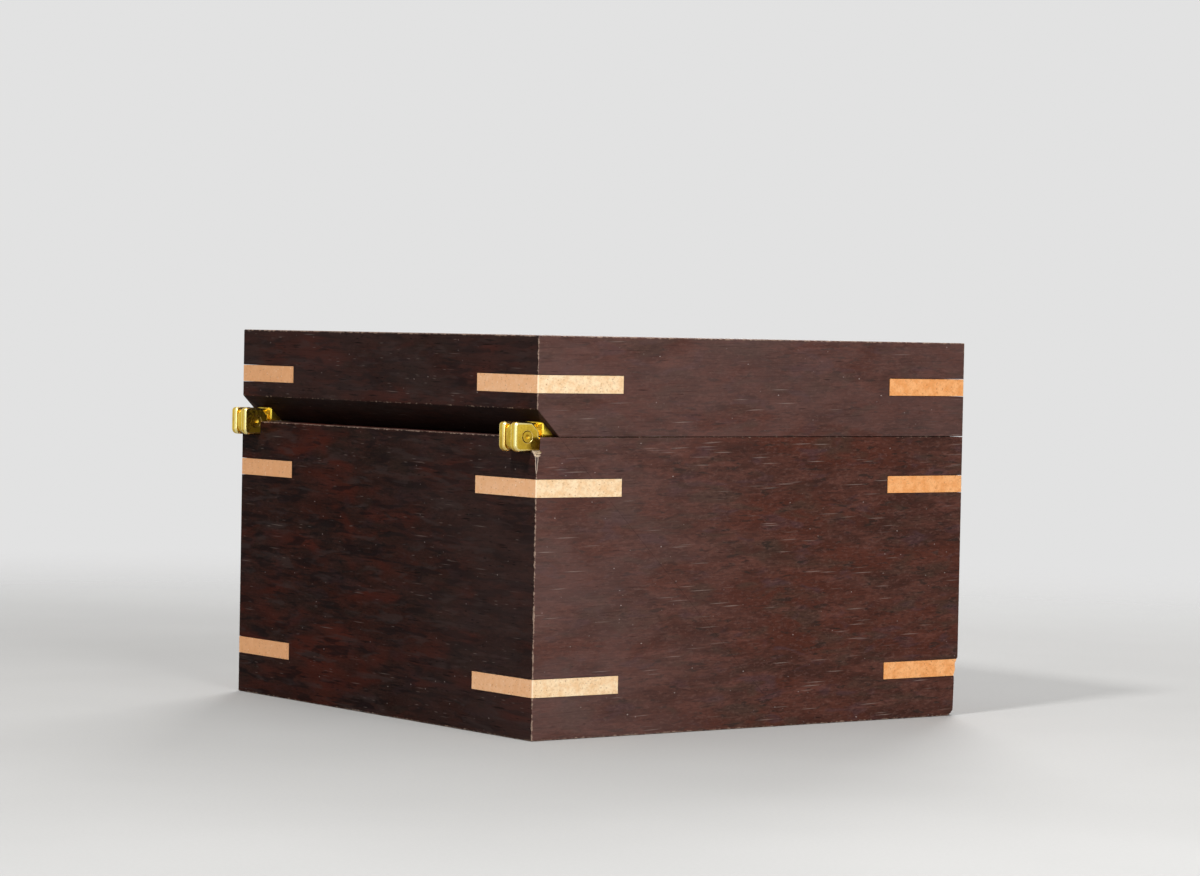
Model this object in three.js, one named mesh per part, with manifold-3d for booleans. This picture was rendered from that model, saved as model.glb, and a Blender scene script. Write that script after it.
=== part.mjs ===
// A square wooden music box with a hinged lid, a winding key underneath and a comb movement
// inside. Millimetres, +Z up. The box stands on z = 0 and its hinged back faces +Y.

import * as THREE from 'three';
import { mergeVertices } from 'three/addons/utils/BufferGeometryUtils.js';
import Module from 'manifold-3d';

const wasm = await Module();
wasm.setup();

// Box

const boxWidth = 120;
const boxDepth = 120;
const wall = 12;
const seamHeight = 64; // top edge of the case walls
const lidHeight = 21.34;
const seamGap = 0.16; // between the case and the closed lid
const lidChamfer = 5.8; // leg of the 45 degree bevel along the lid's rear lower edge

// Clearances

const glueGap = 0.1; // round a spline, a ledge or another glued piece
const restGap = 0.1; // under a piece that rests on another
const turnGap = 0.15; // round a shaft in its bore
const edgeGap = 0.3; // round a panel or a loose plate
const cutMargin = 1; // how far a cut runs past the face that it opens
const joinOverlap = 0.5; // how far two joined shapes run into each other

// Corner splines

const splineThickness = 3.8;
const splineLeg = 22.5;
const lowerSplineHeight = 11.05; // middle of the lower row, from the floor
const upperSplineDrop = 10.75; // middle of the upper row, down from the seam
const lidSplineDrop = 10.25; // middle of the lid's row, down from the top

// Panels, divider, felt and glass

const panelTongue = 4; // depth of the groove that holds a panel
const bottomRecess = 15; // free height under the bottom panel
const bottomThickness = 5;
const keyHoleRadius = 4;
const lidTongueThickness = 3;
const lidPanelThickness = 6;
const lidReveal = 0.8; // shadow gap round the lid panel
const dividerThickness = 6;
const rearBay = 50; // clear depth behind the divider, for the movement
const feltThickness = 1.5;
const glassThickness = 2;
const glassHeadroom = 4.2; // between the movement and the glass
const glassRabbet = 3;
const dividerLip = 0.3; // the divider's top edge above the glass
const ledgeDepth = 4;
const ledgeHeight = 4;
const ledgeBridge = 1.3; // wood left above the notch for the stop lever
const thumbNotch = { width: 30, depth: 8, height: 7 };

// Hinges

const hingeInset = 5.05; // from the box's side to the middle of the hinge
const hingeWidth = 6.2;
const leafLength = 41; // from the pin to the front end of a leaf
const leafThickness = 3.07;
const hingePinRadius = 1.2;
const hingePinProud = 0.1; // each end of the pin, past the knuckles
const hingePinDimple = { radius: 0.6, depth: 0.35 };
const dimpleLead = 0.05; // how far the dimple's cutter starts outside the pin
const hingePinOut = 1.05; // the pin's centre, behind the back face
const knuckleCorner = 1.85; // bevel on a knuckle's front corner, beside the other leaf
const outerKnuckleRounding = { near: 1.3, far: 0.8 }; // rear corners, near the leaf's side and far
const centreKnuckleRounding = { near: 1.8, far: 1.8 };
const centreKnuckleSetback = 0.25; // how much smaller than the outer ones it is, all round
const knuckleRoundSteps = 4;
const knuckleClear = 0.4; // between a turning knuckle and the other leaf's rear end
const centreKnuckle = 2;
const knuckleGap = 0.15;
const leafScrewPlaces = [12, 33]; // from the pin
const screwHeadRadius = 1.9;
const screwHeadDepth = 1.2;
const screwShankRadius = 1;
const screwLength = 7;
const screwSlot = 0.6;

// Movement, from the middle of the bedplate's underside

const bedThickness = 2.5;
const bedFront = -25.5;
const bedMargin = { left: 1.6, right: 1.8, rear: 0.2 }; // past what stands on it
const bedToBackWall = 4;

const driveModule = 0.7;
const mainWheelTeeth = 30;
const drivePinionTeeth = 10;
const governorModule = 0.4;
const cylinderGearTeeth = 36;
const governorPinionTeeth = 9;
const wormModule = 0.5;
const wormWheelTeeth = 16;
const wormPitchRadius = 1.2;
const wormCoreRadius = 0.7;
const wormTurns = 4;
const toothAddendum = 0.8; // stub teeth, in modules
const toothDedendum = 1.1;
const toothBacklash = 0.14;
const pressureAngle = Math.PI / 9;

const housingRadius = 11.8;
const housingWall = 1;
const housingFlange = 0.6;
const housingHeight = 9;
const mainspringThickness = 0.45;
const mainspringTurns = 5;
const mainspringSteps = 24; // points in a turn
const mainspringInnerRadius = 3.4;
const mainWheelThickness = 1.3;
const crownPitchRise = 0.76; // the crown teeth's pitch line, above the wheel
const crownTipRise = 0.5; // their tips, above the pitch line
const crownToothWidths = { root: 1.35, tip: 0.45 };
const crownFace = 1.8; // length of a crown tooth, along the radius
const crownRim = 0.2; // the wheel's edge outside the teeth
const windingArborRadius = 2.2;
const windingCapRadius = 3.4;
const barrelClear = 0.5; // between the spring housing and the left post

const pinionMiddle = -3; // the drive pinion's middle, along the cylinder's axis
const pinionFace = 1.6;
const postThickness = 2.2;
const postHalfWidth = 3.5;
const cylinderRadius = 6.5;
const cylinderLength = 19;
const cylinderArborRadius = 1;
const cylinderGearFace = 1.7;
const endPlay = 0.8; // between a post and what turns beside it
const combToothCount = 18;
const combPitch = 1;
const combToothWidth = 0.75;
const combThickness = 0.8;
const combHeelThickness = 2.2;
const combHeelDepth = 6;
const combRoots = { longest: 0.5, shortest: 5 }; // from the heel to a tooth's root
const combBack = 19; // from the cylinder's axis to the front of the heel
const notePinHeight = 0.45;
const notePinWidth = 0.25;
const pinsPerTrack = 4;
// A pin stands in one of these places of its beat, a few further on from track to track
const tune = { places: 9, spare: 2, trackStep: 7, beatStep: 5 };
const combReach = 0.1; // between the comb's tips and the passing pins
const combScrewInset = 4.5; // from the comb's ends
const combScrewRadius = 1;
const combScrewLength = 6;
const combScrewHead = { radius: 2, height: 1.4 };

const governorOffset = 4.5; // the governor arbor, behind the cylinder's axis
const governorArborRadius = 0.8;
const bearingMargin = 3; // metal round a bearing, from the shaft's axis
const governorPinionFace = 2;
const wormWheelFace = 1.6;
const rightPostThickness = 2.5;
const wormWheelPlay = 1.1;
const outerPlatePlay = 1.8;
const outerPlateThickness = 1.5;
const flyShaftRadius = 0.6;
const vaneRadius = 4.5;
const vaneHeight = 5;
const vaneBottom = 18;
const vaneThickness = 0.6;
const vaneClear = { above: 1.3, behind: 0.6 }; // to the bracket's arm and post
const bracketThickness = 2;
const bracketPost = { halfWidth: 2, halfDepth: 1.5 };
const bracketArm = { halfWidth: 1.6, reach: 1.5, thickness: 1.5 };
const bracketFootWidth = 3.6; // from the fly's axis to the foot's left edge
const flyEndDrop = 0.6; // the fly's upper end, below the arm's top

const leverPivotDrop = 2.2; // below the bracket's top
const leverArm = 10.9;
const leverRise = THREE.MathUtils.degToRad(15.4);
const leverTravel = THREE.MathUtils.degToRad(14);
const leverThickness = 1.2;
const leverHalfHeight = 0.8;
const leverHubRadius = 1.5;
const leverPinRadius = 0.8;
const fingerDrop = 4.6;
const fingerReach = 2.9;
const leverRoom = 0.5; // round the lever in the wall's slot
const plungerRadius = 1.2;
const plungerReach = 8.7; // from the lever's pivot to the plunger's axis

const keyHubRadius = 3.6;
const keyBottom = 3;
const keyToPanel = 2;
const keyBoreDepth = 6;
const keyGrip = { radius: 1.5, inset: 3.8 }; // a hole near each end of the wing
const keyWingSpan = 22;
const keyWingHeight = 7;
const keyWingThickness = 2.2;
const movementScrewRadius = 1.25;
const movementScrewHead = { radius: 2.6, height: 1.4 };
const movementScrewInset = { side: 4, front: 2.5 };
const rearScrewPlace = [4, 14];

// Places worked out from the sizes above

const boxHeight = seamHeight + seamGap + lidHeight;
const halfWidth = boxWidth / 2;
const halfDepth = boxDepth / 2;
const innerHalfWidth = halfWidth - wall;
const innerHalfDepth = halfDepth - wall;
const lidBottom = seamHeight + seamGap;
const panelTop = bottomRecess + bottomThickness;
const dividerRear = innerHalfDepth - rearBay;
const dividerFront = dividerRear - dividerThickness;
const hingePinY = halfDepth + hingePinOut;
const hingePinZ = seamHeight + seamGap / 2;
const leafInner = seamGap / 2; // a leaf's inner face, from the pin's axis
const knuckleRadius = leafInner + leafThickness;
const hingeOverhang = hingePinOut + knuckleRadius;
const hingeMiddle = halfWidth - hingeInset;

const pinionPitch = driveModule * drivePinionTeeth / 2;
const mainWheelPitch = driveModule * mainWheelTeeth / 2;
const barrelX = pinionMiddle - mainWheelPitch;
const housingTop = bedThickness + restGap + housingHeight;
const mainWheelBottom = housingTop + edgeGap;
const mainWheelTop = mainWheelBottom + mainWheelThickness;
const axisHeight = mainWheelTop + crownPitchRise + pinionPitch;

const housingReach = housingRadius + housingFlange;
const leftPostStart = barrelX + housingReach + barrelClear;
const leftPostEnd = leftPostStart + postThickness;
const cylinderStart = leftPostEnd + endPlay;
const cylinderEnd = cylinderStart + cylinderLength;
const cylinderGearStart = cylinderEnd + edgeGap;
const cylinderGearEnd = cylinderGearStart + cylinderGearFace;
const rightPostStart = cylinderGearEnd + endPlay;
const rightPostEnd = rightPostStart + rightPostThickness;
const wormWheelStart = rightPostEnd + wormWheelPlay;
const flyX = wormWheelStart + wormWheelFace / 2;
const outerPlateStart = wormWheelStart + wormWheelFace + outerPlatePlay;
const outerPlateEnd = outerPlateStart + outerPlateThickness;

const combWidth = (combToothCount + 2) * combPitch;
const combLeft = (cylinderStart + cylinderEnd - combWidth) / 2;
const combTip = -(cylinderRadius + notePinHeight + combReach);
const combScrewY = -combBack - combHeelDepth / 2;
const combScrewPlaces = [combLeft + combScrewInset, combLeft + combWidth - combScrewInset];

const cylinderGearPitch = governorModule * cylinderGearTeeth / 2;
const governorPinionPitch = governorModule * governorPinionTeeth / 2;
const governorDistance = cylinderGearPitch + governorPinionPitch;
const governorAngle = -Math.acos(governorOffset / governorDistance);
const governorHeight = axisHeight + governorDistance * Math.sin(governorAngle);
const wormWheelPitch = wormModule * wormWheelTeeth / 2;
const wormLead = Math.PI * wormModule;
const flyY = governorOffset + wormWheelPitch + wormPitchRadius;

const bracketBaseTop = bedThickness + restGap + bracketThickness;
const bracketTop = vaneBottom + vaneHeight + vaneClear.above + bracketArm.thickness;
const glassBottom = panelTop + bracketTop + glassHeadroom;
const glassTop = glassBottom + glassThickness;

const leverX = outerPlateEnd - leverThickness;
const leverY = flyY + vaneRadius + vaneClear.behind + bracketPost.halfDepth;
const leverZ = bracketTop - leverPivotDrop;
const bracketRear = leverY + bracketPost.halfDepth;
const bedLeft = barrelX - housingReach - bedMargin.left;
const bedRight = outerPlateEnd + bedMargin.right;
const bedRear = bracketRear + bedMargin.rear;
const movementBack = innerHalfDepth - bedToBackWall - bedRear;
const movementScrews = [
  [bedLeft + movementScrewInset.side, bedFront + movementScrewInset.front],
  [bedRight - movementScrewInset.side, bedFront + movementScrewInset.front],
  rearScrewPlace,
];

const leverBoxY = movementBack + leverY;
const leverBoxZ = panelTop + leverZ;
const leverHalfSpan = leverHalfHeight / Math.cos(leverRise); // up and down, on the slant
const plungerX = leverX + leverThickness / 2;
const plungerY = leverBoxY + plungerReach;
const plungerBottom = leverBoxZ + (plungerReach + plungerRadius) * Math.tan(leverRise)
  + leverHalfSpan + turnGap;
const slotBottom = leverBoxZ + (innerHalfDepth - leverBoxY) * Math.tan(leverRise)
  - leverHalfSpan - leverRoom;
const slotTop = leverBoxZ + leverArm * Math.sin(leverRise + leverTravel)
  + leverHalfHeight + leverRoom;
const slotRear = leverBoxY + leverArm * Math.cos(leverRise) + leverHalfHeight + leverRoom;

// Solids: each shape below is a closed geometry, and join and cut give solids back

const mergeDistance = 1e-4;

function solid(geometry) {
  const bare = new THREE.BufferGeometry();
  bare.setAttribute('position', geometry.getAttribute('position'));
  bare.setIndex(geometry.getIndex());
  const merged = mergeVertices(bare, mergeDistance);
  const corners = merged.getIndex().array;
  const triangles = [];
  for (let i = 0; i < corners.length; i += 3) {
    const triangle = [corners[i], corners[i + 1], corners[i + 2]];
    if (new Set(triangle).size === 3) {
      triangles.push(...triangle);
    }
  }
  return new wasm.Manifold(new wasm.Mesh({
    numProp: 3,
    vertProperties: Float32Array.from(merged.getAttribute('position').array),
    triVerts: Uint32Array.from(triangles),
  }));
}

function asSolid(shape) {
  return shape.isBufferGeometry ? solid(shape) : shape;
}

function join(...shapes) {
  return shapes.map(asSolid).reduce((whole, next) => whole.add(next));
}

function cut(body, ...tools) {
  return tools.map(asSolid).reduce((rest, tool) => rest.subtract(tool), asSolid(body));
}

function geometryOf(shape) {
  const mesh = asSolid(shape).getMesh();
  const geometry = new THREE.BufferGeometry();
  const positions = Float32Array.from(mesh.vertProperties);
  geometry.setAttribute('position', new THREE.BufferAttribute(positions, 3));
  geometry.setIndex(new THREE.BufferAttribute(Uint32Array.from(mesh.triVerts), 1));
  geometry.computeVertexNormals();
  return geometry;
}

function box(x0, x1, y0, y1, z0, z1) {
  const block = new THREE.BoxGeometry(x1 - x0, y1 - y0, z1 - z0);
  return block.translate((x0 + x1) / 2, (y0 + y1) / 2, (z0 + z1) / 2);
}

// An outline of [x, y] points, extruded along z
function prismZ(outline, z0, z1) {
  const shape = new THREE.Shape(outline.map(([x, y]) => new THREE.Vector2(x, y)));
  const prism = new THREE.ExtrudeGeometry(shape, { depth: z1 - z0, bevelEnabled: false });
  return prism.translate(0, 0, z0);
}

const turnZtoX = new THREE.Matrix4().makeBasis(
  new THREE.Vector3(0, 1, 0),
  new THREE.Vector3(0, 0, 1),
  new THREE.Vector3(1, 0, 0),
);

// An outline of [y, z] points, extruded along x
function prismX(outline, x0, x1) {
  return prismZ(outline, x0, x1).applyMatrix4(turnZtoX);
}

// Points on an arc about the origin, both ends included
function arc(radius, from, to, steps) {
  return Array.from({ length: steps + 1 }, (unused, step) => {
    const angle = from + (to - from) * step / steps;
    return [radius * Math.cos(angle), radius * Math.sin(angle)];
  });
}

const roundSides = [[1.5, 12], [5, 24], [Infinity, 48]]; // below a radius, so many sides

function sidesFor(radius) {
  return roundSides.find(([limit]) => radius < limit)[1];
}

// A rod or, with another radius at its top, a cone
function rodZ(radius, z0, z1, x = 0, y = 0, topRadius = radius) {
  const rod = new THREE.CylinderGeometry(topRadius, radius, z1 - z0, sidesFor(radius));
  return rod.rotateX(Math.PI / 2).translate(x, y, (z0 + z1) / 2);
}

function rodX(radius, x0, x1, y = 0, z = 0) {
  const rod = new THREE.CylinderGeometry(radius, radius, x1 - x0, sidesFor(radius));
  return rod.rotateZ(-Math.PI / 2).translate((x0 + x1) / 2, y, z);
}

function addPiece(group, name, shape, look, position = [0, 0, 0], turn = 0) {
  const mesh = new THREE.Mesh(geometryOf(shape), new THREE.MeshStandardMaterial(look));
  mesh.name = name;
  mesh.position.set(...position);
  mesh.rotation.z = turn;
  group.add(mesh);
  return mesh;
}

// Looks

const darkWood = { color: 0x4f3630, roughness: 0.5, metalness: 0 };
const paleWood = { color: 0xdba273, roughness: 0.5, metalness: 0 };
const panelWood = { color: 0x4a322c, roughness: 0.55, metalness: 0 };
const brass = { color: 0xd9b95c, roughness: 0.25, metalness: 1 };
const steel = { color: 0xb9bcc0, roughness: 0.3, metalness: 1 };
const castMetal = { color: 0xa09a90, roughness: 0.45, metalness: 1 };
const glass = { color: 0xdfe9e6, roughness: 0.05, metalness: 0 };
const felt = { color: 0x571c26, roughness: 0.95, metalness: 0 };
const springSteel = { color: 0x5d6470, roughness: 0.35, metalness: 1 };

// Wooden walls: four mitred boards, for the case and again for the lid

const sides = ['front', 'right', 'back', 'left'];
const outerCorners = [
  [-halfWidth, -halfDepth], [halfWidth, -halfDepth],
  [halfWidth, halfDepth], [-halfWidth, halfDepth],
];
const innerCorners = [
  [-innerHalfWidth, -innerHalfDepth], [innerHalfWidth, -innerHalfDepth],
  [innerHalfWidth, innerHalfDepth], [-innerHalfWidth, innerHalfDepth],
];
const cornerNames = ['front_left', 'front_right', 'back_right', 'back_left'];

function wallBoard(index, z0, z1) {
  const next = (index + 1) % sides.length;
  const outline = [
    outerCorners[index], outerCorners[next], innerCorners[next], innerCorners[index],
  ];
  return prismZ(outline, z0, z1);
}

const splineShape = [[0, 0], [splineLeg, 0], [0, splineLeg]];
const slotLeg = splineLeg + glueGap * Math.SQRT2 + cutMargin;
const slotShape = [[-cutMargin, -cutMargin], [slotLeg, -cutMargin], [-cutMargin, slotLeg]];

function splineSlots(height) {
  const half = splineThickness / 2 + glueGap;
  return outerCorners.map(([x, y], index) => prismZ(slotShape, height - half, height + half)
    .rotateZ(index * Math.PI / 2)
    .translate(x, y, 0));
}

function addSplines(group, prefix, height, suffix) {
  outerCorners.forEach(([x, y], index) => {
    const spline = prismZ(splineShape, -splineThickness / 2, splineThickness / 2);
    const name = `${prefix}_spline_${cornerNames[index]}${suffix}`;
    addPiece(group, name, spline, paleWood, [x, y, height], index * Math.PI / 2);
  });
}

// The groove for a panel, all round the inside
function panelGroove(z0, z1) {
  const x = innerHalfWidth + panelTongue;
  const y = innerHalfDepth + panelTongue;
  return box(-x, x, -y, y, z0 - glueGap, z1 + glueGap);
}

// Hinges: made with the pin along x at the origin, the leaves running to the front

const leafRear = Math.hypot(knuckleRadius, knuckleRadius - knuckleCorner) + knuckleClear;
const mortiseHalfWidth = hingeWidth / 2 + glueGap;
const mortiseHeight = knuckleRadius + turnGap;

// A rounded rear corner of a knuckle: end is -1 below the pin, 1 above
function knuckleRearCorner(radius, rounding, end) {
  const middle = radius - rounding;
  const angles = end < 0 ? [-Math.PI / 2, 0] : [0, Math.PI / 2];
  return arc(rounding, ...angles, knuckleRoundSteps)
    .map(([y, z]) => [y + middle, z + end * middle]);
}

// A knuckle and its link to its leaf: side is -1 for the leaf below the pin, 1 for the one above
function knuckleOutline(side, radius, rounding) {
  const flat = radius - knuckleCorner;
  const link = -leafRear - joinOverlap;
  const points = [
    [link, -radius],
    ...knuckleRearCorner(radius, rounding.near, -1),
    ...knuckleRearCorner(radius, rounding.far, 1),
    [-flat, radius], [-radius, flat], [-radius, -leafInner], [link, -leafInner],
  ];
  return points.map(([y, z]) => [y, -side * z]);
}

// A countersunk hole through the leaf on that side of the pin
function screwSink(side, place) {
  const hole = rodZ(screwShankRadius + turnGap, -knuckleRadius - cutMargin, 0);
  const cone = rodZ(
    screwShankRadius + glueGap, -leafInner - screwHeadDepth, -leafInner, 0, 0,
    screwHeadRadius + glueGap,
  );
  return [hole, cone].map((shape) => shape
    .rotateX(side < 0 ? 0 : Math.PI)
    .translate(0, -place, 0));
}

function hingeLeaf(side) {
  const half = hingeWidth / 2;
  const inner = centreKnuckle / 2;
  const z = [side * leafInner, side * knuckleRadius].sort((a, b) => a - b);
  const leaf = box(-half, half, -leafLength, -leafRear, ...z);
  const outline = side < 0
    ? knuckleOutline(side, knuckleRadius, outerKnuckleRounding)
    : knuckleOutline(side, knuckleRadius - centreKnuckleSetback, centreKnuckleRounding);
  const knuckles = side < 0
    ? [[-half, -inner - knuckleGap], [inner + knuckleGap, half]]
    : [[-inner, inner]];
  const barrels = knuckles.map(([x0, x1]) => prismX(outline, x0, x1));
  const bore = rodX(hingePinRadius + glueGap, -half - cutMargin, half + cutMargin);
  const sinks = leafScrewPlaces.flatMap((place) => screwSink(side, place));
  return cut(join(leaf, ...barrels), bore, ...sinks);
}

// The pin, with a dimple in each end
function hingePin() {
  const half = hingeWidth / 2 + hingePinProud;
  const { radius, depth } = hingePinDimple;
  const dimples = [-1, 1].map((end) => rodZ(radius, -dimpleLead, depth, 0, 0, radius / 6)
    .rotateY(-end * Math.PI / 2)
    .translate(end * half, 0, 0));
  return cut(rodX(hingePinRadius, -half, half), ...dimples);
}

function countersunkScrew() {
  const head = rodZ(screwShankRadius, -screwHeadDepth, 0, 0, 0, screwHeadRadius);
  const shank = rodZ(screwShankRadius, -screwLength, -screwHeadDepth / 2);
  const half = screwSlot / 2;
  const slot = box(-half, half, -screwHeadRadius, screwHeadRadius, -screwSlot, cutMargin);
  return cut(join(head, shank), slot);
}

function hingeMortises(z0, z1) {
  return [-hingeMiddle, hingeMiddle].map((x) => box(
    x - mortiseHalfWidth, x + mortiseHalfWidth,
    hingePinY - leafLength - turnGap, halfDepth + cutMargin, z0, z1,
  ));
}

function hingeScrewHoles(z0, z1) {
  const holes = [];
  for (const x of [-hingeMiddle, hingeMiddle]) {
    for (const place of leafScrewPlaces) {
      holes.push(rodZ(screwShankRadius + turnGap, z0, z1, x, hingePinY - place));
    }
  }
  return holes;
}

function addHinge(group, name, x) {
  const hinge = new THREE.Group();
  hinge.position.set(x, hingePinY, hingePinZ);
  group.add(hinge);
  addPiece(hinge, `${name}_case_leaf`, hingeLeaf(-1), brass);
  addPiece(hinge, `${name}_lid_leaf`, hingeLeaf(1), brass);
  addPiece(hinge, `${name}_pin`, hingePin(), brass);
  leafScrewPlaces.forEach((place, index) => {
    const down = addPiece(hinge, `${name}_case_screw_${index + 1}`, countersunkScrew(), brass);
    down.position.set(0, -place, -leafInner);
    const up = addPiece(hinge, `${name}_lid_screw_${index + 1}`, countersunkScrew(), brass);
    up.position.set(0, -place, leafInner);
    up.rotation.x = Math.PI;
  });
}

// The case: walls, splines, bottom panel, divider, glass and felt

// The slot for the stop lever, and the hole from there up to the seam for the plunger
function plungerCuts() {
  const half = plungerRadius + 2 * turnGap;
  const slot = box(
    plungerX - half, plungerX + half, innerHalfDepth - cutMargin, slotRear, slotBottom, slotTop,
  );
  const hole = rodZ(
    plungerRadius + turnGap, slotTop - cutMargin, seamHeight + cutMargin, plungerX, plungerY,
  );
  return [slot, hole];
}

function addCase(group) {
  const lower = lowerSplineHeight;
  const upper = seamHeight - upperSplineDrop;
  const screwBottom = seamHeight - screwLength - edgeGap;
  const cuts = [
    ...splineSlots(lower),
    ...splineSlots(upper),
    panelGroove(bottomRecess, panelTop),
    ...hingeMortises(hingePinZ - mortiseHeight, seamHeight + cutMargin),
    ...hingeScrewHoles(screwBottom, seamHeight + cutMargin),
    ...plungerCuts(),
  ].map(asSolid);
  sides.forEach((side, index) => {
    addPiece(group, `case_${side}_wall`, cut(wallBoard(index, 0, seamHeight), ...cuts), darkWood);
  });
  addSplines(group, 'case', lower, '_lower');
  addSplines(group, 'case', upper, '_upper');
  addPiece(group, 'bottom_panel', bottomPanel(), panelWood);
  addPiece(group, 'divider', divider(), panelWood);
  addPiece(group, 'cover_ledge', coverLedge(), panelWood);
  addPiece(group, 'glass_cover', glassCover(), glass);
  addPiece(group, 'felt_liner', feltLiner(), felt);
}

function bottomPanel() {
  const x = innerHalfWidth + panelTongue - edgeGap;
  const y = innerHalfDepth + panelTongue - edgeGap;
  const holes = movementScrews.map(([screwX, screwY]) => rodZ(
    movementScrewRadius + turnGap, bottomRecess - cutMargin, panelTop + cutMargin,
    screwX, screwY + movementBack,
  ));
  const keyHole = rodZ(
    keyHoleRadius, bottomRecess - cutMargin, panelTop + cutMargin, barrelX, movementBack,
  );
  return cut(box(-x, x, -y, y, bottomRecess, panelTop), keyHole, ...holes);
}

function divider() {
  const x = innerHalfWidth - glueGap;
  const top = glassTop + dividerLip;
  const board = box(-x, x, dividerFront, dividerRear, panelTop + glueGap, top);
  const rabbet = box(
    -halfWidth, halfWidth, dividerRear - glassRabbet, dividerRear + cutMargin,
    glassBottom - restGap, top + cutMargin,
  );
  return cut(board, rabbet);
}

function coverLedge() {
  const x = innerHalfWidth - glueGap;
  const top = glassBottom - restGap;
  const strip = box(
    -x, x, innerHalfDepth - ledgeDepth, innerHalfDepth - glueGap, top - ledgeHeight, top,
  );
  const half = leverThickness / 2 + leverRoom;
  const notch = box(plungerX - half, plungerX + half, 0, halfDepth, 0, top - ledgeBridge);
  return cut(strip, notch);
}

function glassCover() {
  const x = innerHalfWidth - edgeGap;
  const front = dividerRear - glassRabbet + edgeGap;
  return box(-x, x, front, innerHalfDepth - edgeGap, glassBottom, glassTop);
}

function feltLiner() {
  const x = innerHalfWidth - edgeGap;
  const bottom = panelTop + restGap;
  return box(
    -x, x, -innerHalfDepth + edgeGap, dividerFront - edgeGap, bottom, bottom + feltThickness,
  );
}

// The lid: walls with a bevelled rear edge and a thumb notch, splines and a flush panel

function lidBevel() {
  const run = lidChamfer + cutMargin;
  const outline = [
    [halfDepth + cutMargin, lidBottom - cutMargin],
    [halfDepth + cutMargin, lidBottom + run],
    [halfDepth - run, lidBottom - cutMargin],
  ];
  return prismX(outline, -halfWidth - cutMargin, halfWidth + cutMargin);
}

function thumbNotchCut() {
  return new THREE.SphereGeometry(1, 32, 16)
    .scale(thumbNotch.width / 2, thumbNotch.depth, thumbNotch.height)
    .translate(0, -halfDepth, lidBottom);
}

function lidPanel() {
  const bottom = boxHeight - lidPanelThickness;
  const tongueX = innerHalfWidth + panelTongue - edgeGap;
  const tongueY = innerHalfDepth + panelTongue - edgeGap;
  const fieldX = innerHalfWidth - lidReveal;
  const fieldY = innerHalfDepth - lidReveal;
  return join(
    box(-tongueX, tongueX, -tongueY, tongueY, bottom, bottom + lidTongueThickness),
    box(-fieldX, fieldX, -fieldY, fieldY, bottom, boxHeight),
  );
}

function addLid(group) {
  const splineHeight = boxHeight - lidSplineDrop;
  const screwTop = lidBottom + screwLength + edgeGap;
  const panelBottom = boxHeight - lidPanelThickness;
  const cuts = [
    ...splineSlots(splineHeight),
    panelGroove(panelBottom, panelBottom + lidTongueThickness),
    ...hingeMortises(lidBottom - cutMargin, hingePinZ + mortiseHeight),
    ...hingeScrewHoles(lidBottom - cutMargin, screwTop),
    lidBevel(),
    thumbNotchCut(),
  ].map(asSolid);
  sides.forEach((side, index) => {
    const board = wallBoard(index, lidBottom, boxHeight);
    addPiece(group, `lid_${side}_wall`, cut(board, ...cuts), darkWood);
  });
  addSplines(group, 'lid', splineHeight, '');
  addPiece(group, 'lid_panel', lidPanel(), panelWood);
}

// Gear teeth

function involute(angle) {
  return Math.tan(angle) - angle;
}

// Half the angle that a tooth fills at a radius
function toothHalfAngle(radius, pitch, module) {
  const base = pitch * Math.cos(pressureAngle);
  const thickness = (Math.PI * module / 2 - toothBacklash) / (2 * pitch);
  const slope = Math.acos(Math.min(1, base / radius));
  return thickness + involute(pressureAngle) - involute(slope);
}

function gearOutline(teeth, module, phase) {
  const pitch = teeth * module / 2;
  const radii = [-toothDedendum, -toothAddendum / 4, toothAddendum / 3, toothAddendum]
    .map((rise) => pitch + rise * module);
  const outline = [];
  for (let tooth = 0; tooth < teeth; tooth += 1) {
    const middle = phase + 2 * Math.PI * tooth / teeth;
    const flank = radii.map((radius) => [radius, toothHalfAngle(radius, pitch, module)]);
    const rising = flank.map(([radius, half]) => [radius, middle - half]);
    const falling = flank.map(([radius, half]) => [radius, middle + half]).reverse();
    for (const [radius, angle] of [...rising, ...falling]) {
      outline.push([radius * Math.cos(angle), radius * Math.sin(angle)]);
    }
  }
  return outline;
}

// The movement

function bedplate() {
  const pedestalTop = axisHeight - combThickness / 2 - restGap;
  const combScrewBottom = axisHeight - combThickness / 2 + combHeelThickness
    - combScrewLength - edgeGap;
  const plate = box(bedLeft, bedRight, bedFront, bedRear, 0, bedThickness);
  const pedestal = box(
    combLeft, combLeft + combWidth, -combBack - combHeelDepth, -combBack,
    bedThickness - joinOverlap, pedestalTop,
  );
  const leftPost = bearingPost(postHalfWidth, axisHeight);
  const rightPost = bearingPost(governorOffset + bearingMargin, governorHeight + bearingMargin);
  const body = join(
    plate, pedestal,
    prismX(leftPost, leftPostStart, leftPostEnd),
    prismX(rightPost, rightPostStart, rightPostEnd),
  );
  const bores = [
    rodX(
      cylinderArborRadius + turnGap, leftPostStart - cutMargin, rightPostEnd + cutMargin,
      0, axisHeight,
    ),
    rodX(
      governorArborRadius + glueGap, rightPostStart - endPlay / 2, rightPostEnd + cutMargin,
      governorOffset, governorHeight,
    ),
    rodZ(windingArborRadius + edgeGap, -cutMargin, bedThickness + cutMargin, barrelX),
    ...movementScrews.map(([x, y]) => rodZ(
      movementScrewRadius + glueGap, -cutMargin, bedThickness + cutMargin, x, y,
    )),
    ...combScrewPlaces.map((x) => rodZ(
      combScrewRadius + turnGap, combScrewBottom, pedestalTop + cutMargin, x, combScrewY,
    )),
  ];
  return cut(body, ...bores);
}

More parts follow.
